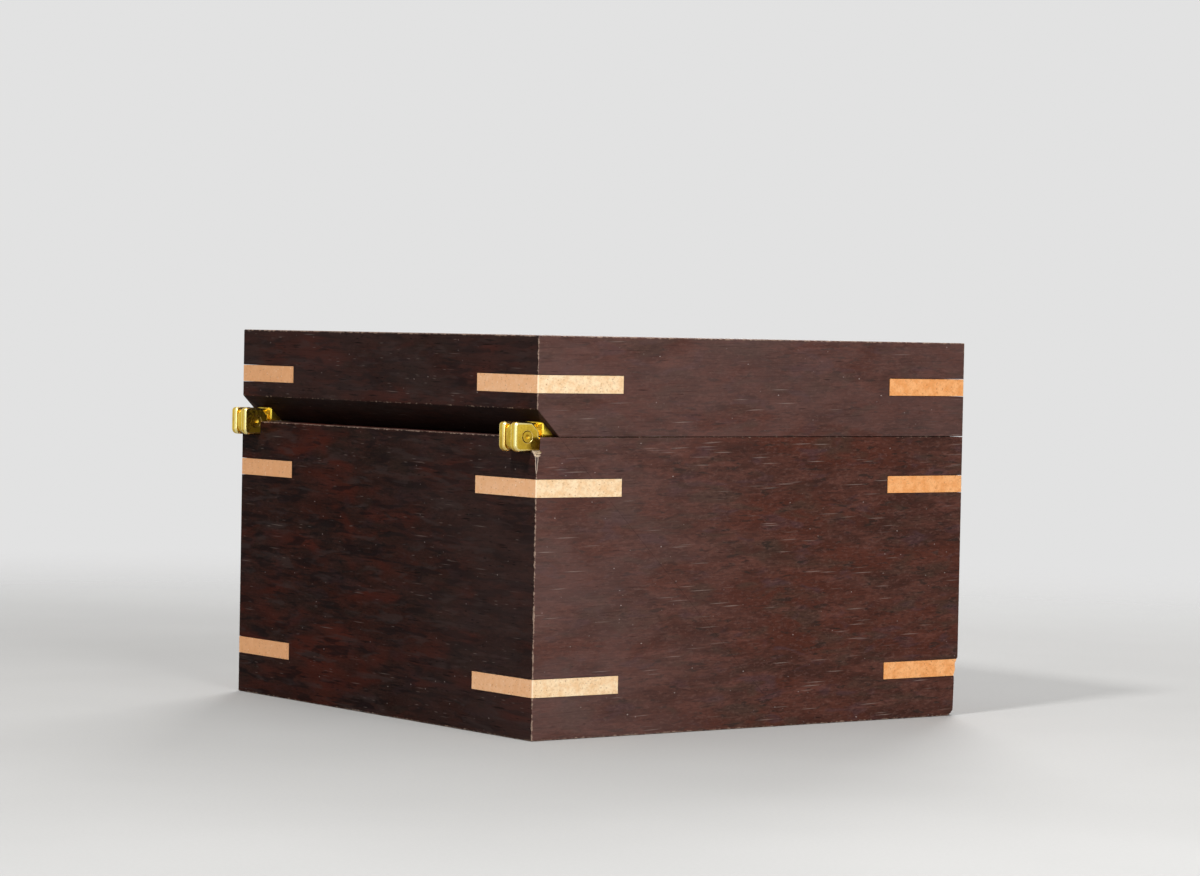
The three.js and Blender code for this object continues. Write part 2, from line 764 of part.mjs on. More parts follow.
// A post's outline, with a shoulder on the rear and a round head over the cylinder's axis
function bearingPost(shoulder, shoulderHeight) {
  const head = arc(postHalfWidth, 0, Math.PI, 12).map(([y, z]) => [y, axisHeight + z]);
  return [
    [-postHalfWidth, bedThickness - joinOverlap],
    [shoulder, bedThickness - joinOverlap],
    [shoulder, shoulderHeight],
    ...head,
  ];
}

function springHousing() {
  const bottom = bedThickness + restGap;
  const shell = join(
    rodZ(housingRadius, bottom, housingTop),
    rodZ(housingRadius + housingFlange, bottom, bottom + housingWall),
  );
  return cut(
    shell,
    rodZ(housingRadius - housingWall, bottom - cutMargin, housingTop - housingWall),
    rodZ(windingArborRadius + 2 * edgeGap, bottom, housingTop + cutMargin),
  );
}

// A flat strip wound in an even spiral, from the arbor out to the housing
function mainspring() {
  const steps = mainspringTurns * mainspringSteps;
  const outer = housingRadius - housingWall - 2 * edgeGap;
  const half = mainspringThickness / 2;
  const spiral = (offset) => Array.from({ length: steps + 1 }, (unused, step) => {
    const angle = 2 * Math.PI * mainspringTurns * step / steps;
    const radius = mainspringInnerRadius + (outer - mainspringInnerRadius) * step / steps;
    return [(radius + offset) * Math.cos(angle), (radius + offset) * Math.sin(angle)];
  });
  const outline = [...spiral(half), ...spiral(-half).reverse()];
  const bottom = bedThickness + 2 * edgeGap;
  return prismZ(outline, bottom, housingTop - housingWall - 2 * edgeGap);
}

// A disc with teeth standing on its upper face, the first of them on the +x side
function mainWheel() {
  const disc = rodZ(mainWheelPitch + crownFace / 2 + crownRim, mainWheelBottom, mainWheelTop);
  const root = crownToothWidths.root / 2;
  const tip = crownToothWidths.tip / 2;
  const top = mainWheelTop + crownPitchRise + crownTipRise;
  const low = mainWheelTop - joinOverlap;
  const outline = [
    [-root, low], [root, low], [root, mainWheelTop], [tip, top], [-tip, top],
    [-root, mainWheelTop],
  ];
  const teeth = Array.from({ length: mainWheelTeeth }, (unused, index) => prismX(
    outline, mainWheelPitch - crownFace / 2, mainWheelPitch + crownFace / 2,
  ).rotateZ(2 * Math.PI * index / mainWheelTeeth));
  const bore = rodZ(
    windingArborRadius + turnGap, mainWheelBottom - cutMargin, mainWheelTop + cutMargin,
  );
  return cut(join(disc, ...teeth), bore);
}

function windingArbor() {
  const capBottom = mainWheelTop + edgeGap;
  const lowerEnd = bottomRecess - keyToPanel - keyBoreDepth + edgeGap - panelTop;
  return join(
    rodZ(windingArborRadius, lowerEnd, capBottom + joinOverlap),
    rodZ(windingCapRadius, capBottom, capBottom + mainWheelThickness),
  );
}

// The key, from the floor: a hub with a flat wing across it
function windingKey() {
  const hubTop = bottomRecess - keyToPanel;
  const half = keyWingSpan / 2;
  const wingTop = keyBottom + keyWingHeight;
  const wingHalf = keyWingThickness / 2;
  const bevel = keyWingHeight / 3;
  const outline = [
    [-half, keyBottom + bevel], [-half + bevel, keyBottom], [half - bevel, keyBottom],
    [half, keyBottom + bevel], [half, wingTop - bevel], [half - bevel, wingTop],
    [-half + bevel, wingTop], [-half, wingTop - bevel],
  ];
  const wing = prismX(outline, -wingHalf, wingHalf);
  const hub = rodZ(keyHubRadius, keyBottom, hubTop);
  const bore = rodZ(windingArborRadius + turnGap, hubTop - keyBoreDepth, hubTop + cutMargin);
  const grips = [-1, 1].map((side) => rodX(
    keyGrip.radius, -wingHalf - cutMargin, wingHalf + cutMargin,
    side * (half - keyGrip.inset), (keyBottom + wingTop) / 2,
  ));
  return cut(join(wing, hub), bore, ...grips);
}

// The comb's first tooth stands one and a half pitches in from its left end
function combToothX(index) {
  return combLeft + (index + 1.5) * combPitch;
}

// The cylinder turns about its own x axis, and its pins pluck the comb

function pinnedCylinder() {
  const sleeve = cut(
    rodX(cylinderRadius, cylinderStart, cylinderEnd),
    rodX(cylinderArborRadius + turnGap, cylinderStart - cutMargin, cylinderEnd + cutMargin),
  );
  const half = notePinWidth / 2;
  const pins = [];
  for (let track = 0; track < combToothCount; track += 1) {
    for (let beat = 0; beat < pinsPerTrack; beat += 1) {
      const step = (track * tune.trackStep + beat * tune.beatStep) % tune.places;
      const place = step / (tune.places + tune.spare);
      const angle = 2 * Math.PI * (beat + place) / pinsPerTrack;
      const x = combToothX(track);
      const pin = box(
        x - half, x + half, -half, half,
        cylinderRadius - notePinHeight, cylinderRadius + notePinHeight,
      );
      pins.push(pin.rotateX(angle));
    }
  }
  return join(sleeve, ...pins);
}

function cylinderArbor() {
  const pinionStart = pinionMiddle - pinionFace / 2;
  return join(
    rodX(cylinderArborRadius, pinionStart - endPlay, rightPostEnd + joinOverlap),
    prismX(
      gearOutline(drivePinionTeeth, driveModule, 0), pinionStart, pinionStart + pinionFace,
    ),
  );
}

function cylinderGear() {
  const outline = gearOutline(cylinderGearTeeth, governorModule, governorAngle);
  const bore = rodX(
    cylinderArborRadius + turnGap, cylinderGearStart - cutMargin, cylinderGearEnd + cutMargin,
  );
  return cut(prismX(outline, cylinderGearStart, cylinderGearEnd), bore);
}

// A heel with the teeth cut from one plate, the longest on the left
function comb() {
  const right = combLeft + combWidth;
  const slope = (combRoots.shortest - combRoots.longest) / combWidth;
  const rootAt = (x) => -combBack + combRoots.longest + slope * (x - combLeft);
  const half = combToothWidth / 2;
  const outline = [
    [combLeft, -combBack - combHeelDepth], [right, -combBack - combHeelDepth],
    [right, rootAt(right)],
  ];
  for (let index = combToothCount - 1; index >= 0; index -= 1) {
    const x = combToothX(index);
    outline.push([x + half, rootAt(x + half)], [x + half, combTip]);
    outline.push([x - half, combTip], [x - half, rootAt(x - half)]);
  }
  outline.push([combLeft, rootAt(combLeft)]);
  const low = -combThickness / 2;
  const plate = prismZ(outline, low, combThickness / 2);
  const heel = box(
    combLeft, right, -combBack - combHeelDepth, -combBack, low, low + combHeelThickness,
  );
  const holes = combScrewPlaces.map((x) => rodZ(
    combScrewRadius + turnGap, low - cutMargin, combHeelThickness, x, combScrewY,
  ));
  return cut(join(plate, heel), ...holes);
}

function combScrew() {
  const top = restGap + combScrewHead.height;
  const head = rodZ(combScrewHead.radius, restGap, top);
  const shank = rodZ(combScrewRadius, -combScrewLength, top / 2);
  const half = screwSlot / 2;
  const reach = combScrewHead.radius + cutMargin;
  const slot = box(-half, half, -reach, reach, top - screwSlot, top + cutMargin);
  return cut(join(head, shank), slot);
}

function movementScrew() {
  const headTop = -bottomThickness - restGap;
  const low = headTop - movementScrewHead.height;
  const head = rodZ(movementScrewHead.radius, low, headTop);
  const shank = rodZ(movementScrewRadius, headTop - joinOverlap, bedThickness - edgeGap);
  const half = screwSlot / 2;
  const reach = movementScrewHead.radius + cutMargin;
  const slot = box(-half, half, -reach, reach, low - cutMargin, low + screwSlot);
  return cut(join(head, shank), slot);
}

// The governor: a wheel driven by the cylinder's gear turns the fly through a worm

const governorPinionStart = (cylinderGearStart + cylinderGearEnd - governorPinionFace) / 2;
const wormTwist = wormLead / (2 * Math.PI * wormPitchRadius) / wormWheelPitch; // per mm

function governorWheel() {
  const phase = governorAngle + Math.PI + Math.PI / governorPinionTeeth;
  const pinion = prismX(
    gearOutline(governorPinionTeeth, governorModule, phase),
    governorPinionStart, governorPinionStart + governorPinionFace,
  );
  const arbor = rodX(
    governorArborRadius, governorPinionStart - edgeGap, outerPlateStart + outerPlateThickness / 2,
  );
  return join(arbor, pinion, twistedGear());
}

// The worm wheel, twisted along its axis to follow the worm's thread
function twistedGear() {
  const outline = gearOutline(wormWheelTeeth, wormModule, 0);
  const shape = new THREE.Shape(outline.map(([y, z]) => new THREE.Vector2(y, z)));
  const gear = new THREE.ExtrudeGeometry(shape, {
    depth: wormWheelFace, bevelEnabled: false, steps: 2,
  });
  const position = gear.getAttribute('position');
  const point = new THREE.Vector3();
  const axis = new THREE.Vector3(0, 0, 1);
  for (let i = 0; i < position.count; i += 1) {
    point.fromBufferAttribute(position, i);
    point.applyAxisAngle(axis, wormTwist * (point.z - wormWheelFace / 2));
    position.setXYZ(i, point.x, point.y, point.z);
  }
  return gear.translate(0, 0, wormWheelStart).applyMatrix4(turnZtoX);
}

// The worm's radius at a height above the middle of its thread
function wormRadiusAt(rise) {
  const half = (wormLead / 2 - toothBacklash) / 2;
  const radius = wormPitchRadius + (half - Math.abs(rise)) / Math.tan(pressureAngle);
  const outer = wormPitchRadius + toothAddendum * wormModule;
  return THREE.MathUtils.clamp(radius, wormCoreRadius, outer);
}

// A right-handed worm: rings of points whose rows climb one step for each step round
function worm() {
  const around = 12;
  const rows = wormTurns * around;
  const rowHeight = wormLead / around;
  const positions = [];
  for (let row = 0; row <= rows; row += 1) {
    const height = (row - rows / 2) * rowHeight;
    for (let column = 0; column < around; column += 1) {
      const turn = column / around;
      const angle = 2 * Math.PI * turn - Math.PI / 2;
      const climbed = height / wormLead - turn;
      const radius = wormRadiusAt((climbed - Math.floor(climbed) - 0.5) * wormLead);
      positions.push(radius * Math.cos(angle), radius * Math.sin(angle), height);
    }
  }
  const end = rows * rowHeight / 2;
  const lowMiddle = positions.length / 3;
  positions.push(0, 0, -end, 0, 0, end);
  const triangles = [];
  for (let column = 0; column < around; column += 1) {
    const next = (column + 1) % around;
    for (let row = 0; row < rows; row += 1) {
      const low = row * around;
      const high = low + around;
      triangles.push(low + column, low + next, high + next);
      triangles.push(low + column, high + next, high + column);
    }
    const top = rows * around;
    triangles.push(lowMiddle, next, column);
    triangles.push(lowMiddle + 1, top + column, top + next);
  }
  const geometry = new THREE.BufferGeometry();
  geometry.setAttribute('position', new THREE.Float32BufferAttribute(positions, 3));
  geometry.setIndex(triangles);
  return geometry;
}

// The fly, from the height of the governor's arbor
function fly() {
  const bottom = bracketBaseTop - joinOverlap - governorHeight;
  const top = bracketTop - flyEndDrop - governorHeight;
  const vane = box(
    -vaneRadius, vaneRadius, -vaneThickness / 2, vaneThickness / 2,
    vaneBottom - governorHeight, vaneBottom + vaneHeight - governorHeight,
  );
  return join(
    rodZ(flyShaftRadius, bottom, top),
    worm(),
    vane.rotateZ(Math.PI / 4),
  );
}

// A foot with an outer bearing plate for the governor's arbor and a post with an arm
function governorBracket() {
  const base = bedThickness + restGap;
  const front = governorOffset + bearingMargin + edgeGap;
  const post = bracketPost.halfWidth;
  const arm = bracketArm.halfWidth;
  const body = join(
    box(flyX - bracketFootWidth, outerPlateEnd, front, bracketRear, base, bracketBaseTop),
    box(
      outerPlateStart, outerPlateEnd, governorOffset - bearingMargin, flyY + bearingMargin,
      base, governorHeight + bearingMargin,
    ),
    box(flyX - post, flyX + post, leverY - bracketPost.halfDepth, bracketRear, base, bracketTop),
    box(
      flyX - arm, flyX + arm, flyY - bracketArm.reach, bracketRear,
      bracketTop - bracketArm.thickness, bracketTop,
    ),
  );
  return cut(
    body,
    rodZ(flyShaftRadius + turnGap, base - cutMargin, bracketTop + cutMargin, flyX, flyY),
    rodX(
      governorArborRadius + glueGap, outerPlateStart - cutMargin, outerPlateEnd + cutMargin,
      governorOffset, governorHeight,
    ),
    rodX(
      leverPinRadius + glueGap, flyX - post - cutMargin, flyX + post + cutMargin,
      leverY, leverZ,
    ),
  );
}

// The stop lever, from its pivot: the plunger frees its rear arm and the finger swings back
function stopLever() {
  const half = leverHalfHeight;
  const spread = Math.asin(half / leverHubRadius);
  const shoulder = Math.PI - spread;
  const armEnd = [[leverArm, -half], [leverArm, half]].map(([along, up]) => [
    along * Math.cos(leverRise) - up * Math.sin(leverRise),
    along * Math.sin(leverRise) + up * Math.cos(leverRise),
  ]);
  const outline = [
    [-fingerReach, -fingerDrop], [-fingerReach + leverThickness, -fingerDrop],
    [-fingerReach + leverThickness, -half],
    ...arc(leverHubRadius, -shoulder, leverRise - spread, 10),
    ...armEnd,
    ...arc(leverHubRadius, leverRise + spread, shoulder, 10),
    [-fingerReach, half],
  ];
  const pin = rodX(leverPinRadius, flyX - leverX + joinOverlap, leverThickness / 2);
  return join(prismX(outline, 0, leverThickness), pin);
}

function stopPlunger() {
  return rodZ(plungerRadius, plungerBottom, seamHeight);
}

function addMovement(group) {
  const movement = new THREE.Group();
  movement.position.set(0, movementBack, panelTop);
  group.add(movement);
  const onAxis = [0, 0, axisHeight];
  const onBarrel = [barrelX, 0, 0];
  addPiece(movement, 'bedplate', bedplate(), castMetal);
  addPiece(movement, 'spring_housing', springHousing(), castMetal, onBarrel);
  addPiece(movement, 'mainspring', mainspring(), springSteel, onBarrel);
  addPiece(movement, 'main_wheel', mainWheel(), brass, onBarrel);
  addPiece(movement, 'winding_arbor', windingArbor(), steel, onBarrel);
  addPiece(movement, 'winding_key', windingKey(), brass, [barrelX, 0, -panelTop]);
  addPiece(movement, 'cylinder', pinnedCylinder(), brass, onAxis);
  addPiece(movement, 'cylinder_arbor', cylinderArbor(), steel, onAxis);
  addPiece(movement, 'cylinder_gear', cylinderGear(), brass, onAxis);
  addPiece(movement, 'comb', comb(), steel, onAxis);
  combScrewPlaces.forEach((x, index) => {
    const height = axisHeight - combThickness / 2 + combHeelThickness;
    addPiece(movement, `comb_screw_${index + 1}`, combScrew(), steel, [x, combScrewY, height]);
  });
  addPiece(movement, 'governor_bracket', governorBracket(), castMetal);
  addPiece(movement, 'governor_wheel', governorWheel(), brass, [
    0, governorOffset, governorHeight,
  ]);
  addPiece(movement, 'fly', fly(), steel, [flyX, flyY, governorHeight]);
  addPiece(movement, 'stop_lever', stopLever(), steel, [leverX, leverY, leverZ]);
  movementScrews.forEach(([x, y], index) => {
    addPiece(movement, `movement_screw_${index + 1}`, movementScrew(), steel, [x, y, 0]);
  });
  addPiece(group, 'stop_plunger', stopPlunger(), steel, [plungerX, plungerY, 0]);
}

const musicBox = new THREE.Group();
musicBox.position.y = -hingeOverhang / 2;
addCase(musicBox);
addLid(musicBox);
addHinge(musicBox, 'hinge_left', -hingeMiddle);
addHinge(musicBox, 'hinge_right', hingeMiddle);
addMovement(musicBox);

export default musicBox;
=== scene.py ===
"""The looks of the music box: wooden boards, polished hinges, a metal movement and a felt liner."""

import math

import bmesh
import bpy
from mathutils import Matrix, Vector, noise


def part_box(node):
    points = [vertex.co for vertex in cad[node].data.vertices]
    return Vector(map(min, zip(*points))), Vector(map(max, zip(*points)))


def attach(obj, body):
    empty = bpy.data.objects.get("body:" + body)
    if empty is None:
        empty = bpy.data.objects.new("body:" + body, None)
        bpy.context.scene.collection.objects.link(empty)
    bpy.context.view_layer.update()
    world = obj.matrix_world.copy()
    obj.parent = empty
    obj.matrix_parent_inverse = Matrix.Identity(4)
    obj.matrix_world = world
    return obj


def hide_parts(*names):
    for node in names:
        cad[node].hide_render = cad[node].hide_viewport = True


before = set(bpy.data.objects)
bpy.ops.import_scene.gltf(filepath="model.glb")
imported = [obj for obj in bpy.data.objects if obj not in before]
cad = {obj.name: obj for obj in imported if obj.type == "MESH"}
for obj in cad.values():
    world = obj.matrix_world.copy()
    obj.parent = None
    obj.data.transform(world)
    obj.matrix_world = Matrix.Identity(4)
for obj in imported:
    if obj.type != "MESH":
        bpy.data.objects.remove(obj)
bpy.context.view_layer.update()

MM = 0.001
LOW, HIGH = 0, 1


def edge_of(node, end, axis):
    """Where a CAD node ends along an axis, in millimetres."""
    return round(getattr(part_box(node)[end], axis) / MM, 3)


def middle_of(node, axis):
    return (edge_of(node, LOW, axis) + edge_of(node, HIGH, axis)) / 2


# The box, in millimetres of the part's own frame
WALL = 12.0
LID_BEVEL = 5.8
HALF = edge_of("case_right_wall", HIGH, "x")
INNER = HALF - WALL
REAR = edge_of("case_back_wall", HIGH, "y")
FRONT = edge_of("case_front_wall", LOW, "y")
CENTRE_Y = (REAR + FRONT) / 2
CASE_TOP = edge_of("case_left_wall", HIGH, "z")
LID_BOTTOM = edge_of("lid_left_wall", LOW, "z")
LID_TOP = edge_of("lid_left_wall", HIGH, "z")
BARREL_RADIUS = 6.5

# Rounding of the outer arrises, and the share of it that the arrises at the seam get
ARRIS = 0.26
ARRIS_STEPS = 3
CASE_SEAM_SHARE = 0.45
LID_SEAM_SHARE = 0.35

SHARP_ANGLE = math.radians(30)
SAME_POINT = 1e-6  # in metres


def srgb(red, green, blue):
    """A colour written 0 to 255, as the linear colour that a shader takes."""
    channels = []
    for value in (red, green, blue):
        v = value / 255
        channels.append(v / 12.92 if v <= 0.04045 else ((v + 0.055) / 1.055) ** 2.4)
    return (*channels, 1.0)


def shaded(colour, shade):
    return (*(channel * shade for channel in colour[:3]), 1.0)


# Materials


# The sockets that the Mix node uses for colours
MIX_AMOUNT, MIX_FIRST, MIX_SECOND, MIX_RESULT = 0, 6, 7, 2

DARK_WOOD_SPECULAR = 0.02
PANEL_SPECULAR = 0.08
PALE_WOOD_SPECULAR = 0.25
FLOOR_SPECULAR = 0.25


class Look:
    """One material, built by short calls. Sizes are in millimetres of the part's own frame."""

    def __init__(self, name):
        self.material = bpy.data.materials.new(name)
        self.material.use_nodes = True
        self.tree = self.material.node_tree
        self.shader = self.tree.nodes["Principled BSDF"]

    def feed(self, socket, value):
        if isinstance(value, bpy.types.NodeSocket):
            self.tree.links.new(value, socket)
        else:
            socket.default_value = value

    def add(self, kind, inputs=None, **settings):
        node = self.tree.nodes.new("ShaderNode" + kind)
        for key, value in settings.items():
            setattr(node, key, value)
        for key, value in (inputs or {}).items():
            self.feed(node.inputs[key], value)
        return node

    def math(self, operation, first, second=0.0):
        return self.add("Math", {0: first, 1: second}, operation=operation).outputs[0]

    def absolute(self, value):
        return self.math("ABSOLUTE", value)

    def plus(self, first, second):
        return self.math("ADD", first, second)

    def minus(self, first, second):
        return self.math("SUBTRACT", first, second)

    def times(self, first, second):
        return self.math("MULTIPLY", first, second)

    def least(self, first, second):
        return self.math("MINIMUM", first, second)

    def most(self, first, second):
        return self.math("MAXIMUM", first, second)

    def mix(self, amount, first, second):
        """The first colour, with this much of the second over it."""
        inputs = {MIX_AMOUNT: amount, MIX_FIRST: first, MIX_SECOND: second}
        return self.add("Mix", inputs, data_type="RGBA").outputs[MIX_RESULT]

    def rise(self, value, start, full, bottom=0.0, top=1.0):
        """Goes smoothly from bottom to top as value goes from start to full."""
        node = self.add(
            "MapRange",
            {"Value": value, "From Min": start, "From Max": full, "To Min": bottom, "To Max": top},
            interpolation_type="SMOOTHSTEP",
        )
        return node.outputs["Result"]

    def place(self, sizes=(1, 1, 1), turn=(0, 0, 0), shift=(0, 0, 0)):
        """The piece's own coordinates, turned by degrees and counted in these sizes."""
        here = self.add("TexCoord").outputs["Object"]
        node = self.add("Mapping", {"Vector": here}, vector_type="TEXTURE")
        node.inputs["Location"].default_value = [s * MM for s in shift]
        node.inputs["Rotation"].default_value = [math.radians(t) for t in turn]
        node.inputs["Scale"].default_value = [s * MM for s in sizes]
        return node.outputs["Vector"]

    def warp(self, where, amount, size=1.0):
        """Coordinates pushed about by a slow noise."""
        waves = self.add("TexNoise", {"Vector": where, "Scale": 1 / size, "Detail": 1.0})
        push = {0: waves.outputs["Color"], 1: (0.5, 0.5, 0.5)}
        centred = self.add("VectorMath", push, operation="SUBTRACT").outputs[0]
        scaled = self.add("VectorMath", {0: centred, "Scale": amount}, operation="SCALE").outputs[0]
        return self.add("VectorMath", {0: where, 1: scaled}, operation="ADD").outputs[0]

    def noise(self, where, detail=2.0, rough=0.5):
        inputs = {"Vector": where, "Scale": 1.0, "Detail": detail, "Roughness": rough}
        return self.add("TexNoise", inputs).outputs[0]

    def cells(self, where):
        return self.add("TexVoronoi", {"Vector": where, "Scale": 1.0}).outputs["Distance"]

    def dashes(self, where, chance, inner, outer):
        """Scattered marks, one in some of the cells: full inside inner, gone outside outer."""
        node = self.add("TexVoronoi", {"Vector": where, "Scale": 1.0})
        lot = self.add("SeparateColor", {0: node.outputs["Color"]}).outputs[0]
        kept = self.rise(lot, 1 - chance, 1 - chance + 0.02)
        mark = self.rise(node.outputs["Distance"], inner, outer, 1.0, 0.0)
        return self.times(mark, kept)

    def axes(self):
        """The piece's own coordinates in millimetres, as three numbers."""
        here = self.add("TexCoord").outputs["Object"]
        scaled = self.add("VectorMath", {0: here, "Scale": 1 / MM}, operation="SCALE").outputs[0]
        return self.add("SeparateXYZ", {0: scaled}).outputs[:3]

    def bump(self, height, depth, under=None):
        inputs = {"Height": height, "Distance": depth * MM, "Strength": 1.0}
        if under is not None:
            inputs["Normal"] = under
        return self.add("Bump", inputs).outputs["Normal"]

    def finish(self, colour, roughness, normal=None, **fixed):
        self.feed(self.shader.inputs["Base Color"], colour)
        self.feed(self.shader.inputs["Roughness"], roughness)
        if normal is not None:
            self.feed(self.shader.inputs["Normal"], normal)
        for key, value in fixed.items():
            self.shader.inputs[key.replace("_", " ")].default_value = value
        return self.material


def grained(along, long, tall):
    """A pattern's sizes along the three axes, with the grain along one of them."""
    return tuple(long if axis == along else tall for axis in "xyz")


# What is added to the distance from an arris whose pale line, partly wear and partly painted
# highlight, is narrower, in millimetres
SEAM_PALE_NARROWER = 0.16
BEVEL_PALE_NARROWER = 0.2


def arris_distance(look):
    """How far a point is from the nearest outer arris of the box, in millimetres.

    The seam's pale line is narrower except at the back, and so is that of the arris above the lid's
    bevel.
    """
    x, y, z = look.axes()
    side = look.minus(HALF, look.absolute(x))
    end = look.minus(HALF, look.absolute(look.minus(y, CENTRE_Y)))
    corner = look.most(side, end)
    skin = look.least(side, end)
    level = look.least(z, look.absolute(look.minus(z, LID_TOP)))
    rim = look.absolute(look.minus(z, (CASE_TOP + LID_BOTTOM) / 2))
    rim = look.plus(rim, look.rise(y, REAR - 1.5, REAR - 1.0, SEAM_PALE_NARROWER, 0.0))
    ledge = look.most(skin, look.least(level, rim))
    bevel = look.absolute(look.minus(z, LID_BOTTOM + LID_BEVEL))
    bevel = look.plus(look.most(bevel, look.minus(REAR, y)), BEVEL_PALE_NARROWER)
    return look.least(corner, look.least(ledge, bevel))


def painted_sheen(look):
    """How much painted sheen, a pale grey veil, lies on the wood: all over the lid, and towards the
    case's back left corner.
    """
    x, y, z = look.axes()
    from_corner = look.plus(look.minus(REAR, y), look.plus(x, HALF))
    near = look.rise(from_corner, 72, 4, 0.0, 0.42)
    lid = look.rise(z, CASE_TOP, CASE_TOP + 0.1, 0.0, 0.34)
    patches = look.noise(look.warp(look.place((26, 26, 8), shift=(9, 4, 7)), 1.2), 3.0, 0.6)
    uneven = look.rise(patches, 0.34, 0.60, 0.55, 1.25)
    return look.times(look.most(near, lid), uneven)


def back_face(look):
    """1 on the back of the box, 0 elsewhere."""
    return look.rise(look.minus(REAR, look.axes()[1]), 0.3, 0.1)


def bevel_face(look):
    """1 on the lid's bevelled rear edge, 0 elsewhere."""
    x, y, z = look.axes()
    inward, up = look.minus(REAR, y), look.minus(z, LID_BOTTOM)
    off_face = look.absolute(look.minus(look.plus(inward, up), LID_BEVEL))
    return look.rise(off_face, 0.03, 0.06, 1.0, 0.0)


def arris_wear_and_highlight(look):
    """1 along the outer arrises, with a ragged border, 0 elsewhere: where they are pale, partly
    from wear and partly as a painted highlight.
    """
    ragged = look.noise(look.place((0.9, 0.9, 0.9)), 4.0, 0.7)
    reach = look.rise(ragged, 0.34, 0.72, 0.10, 0.46)
    return look.rise(look.minus(arris_distance(look), reach), 0.0, -0.16)


# Blotches in the dark wood: size along and across the grain, shift, wander, the noise values
# between which the blotch comes in, how much it covers at most, and its colour
BLOTCHES = [
    (34, 9.0, 5, 1.0, 0.42, 0.64, 0.70, (92, 50, 39)),
    (15, 4.2, 11, 1.3, 0.50, 0.66, 0.65, (76, 60, 51)),
    (11, 3.4, 17, 1.3, 0.54, 0.68, 0.60, (84, 61, 64)),
    (18, 2.6, 23, 1.1, 0.55, 0.70, 0.55, (116, 72, 62)),
    (6.5, 1.5, 29, 1.3, 0.58, 0.72, 0.60, (54, 38, 34)),
    (5.0, 0.95, 33, 0.9, 0.60, 0.67, 0.70, (50, 43, 39)),
    (1.5, 0.40, 37, 0.8, 0.46, 0.64, 0.42, (54, 36, 33)),
    (1.2, 0.42, 39, 0.8, 0.52, 0.68, 0.30, (122, 90, 82)),
]

# The stronger blotches of the back board, red, near black and grey, written in the same way
BOLD_BLOTCHES = [
    (26, 7.5, 63, 1.2, 0.44, 0.70, 0.62, (146, 66, 48)),
    (11, 1.7, 67, 1.2, 0.50, 0.62, 0.70, (42, 30, 31)),
    (13, 2.4, 73, 1.2, 0.54, 0.66, 0.50, (112, 92, 88)),
]

SEED_STEP = (17.3, 11.9)  # how far each seed moves the figure of a board, in millimetres


def blotched(look, grain, tone, ground, blotches):
    """The ground colour of dark wood, its blotches, and a painted sheen of pale grey."""
    colour = look.mix(look.rise(ground, 0.38, 0.62), tone(99, 63, 54), tone(74, 46, 39))
    for long, tall, off, wander, start, full, most, blotch in blotches:
        field = look.noise(look.warp(grain(long, tall, off), wander), 2.5, 0.55)
        colour = look.mix(look.rise(field, start, full, 0.0, most), colour, tone(*blotch))
    # Painted sheen: a pale grey veil over the lid and towards the case's back left corner.
    return look.mix(painted_sheen(look), colour, tone(112, 88, 84))


def dark_pores(look, grain, crowd):
    """Long and short open pores, most of them where the filled ones are few."""
    long_pores = look.dashes(look.warp(grain(6.5, 0.55, 31), 0.6), 0.24, 0.12, 0.38)
    short_pores = look.dashes(look.warp(grain(2.2, 0.40, 43), 0.5), 0.24, 0.10, 0.36)
    pores = look.most(long_pores, short_pores)
    return look.times(pores, look.rise(crowd, 0.60, 0.42, 0.35, 1.0))


def filled_pores_and_glints(look, grain, crowd):
    """Long and short pale pores in crowds: partly pale dust in them, partly painted glints."""
    long_pale = look.dashes(look.warp(grain(12, 0.50, 53), 0.4), 0.20, 0.04, 0.30)
    short_pale = look.dashes(look.warp(grain(3.6, 0.42, 57), 0.4), 0.22, 0.05, 0.30)
    filled_and_glints = look.most(long_pale, short_pale)
    return look.times(filled_and_glints, look.rise(crowd, 0.46, 0.58))


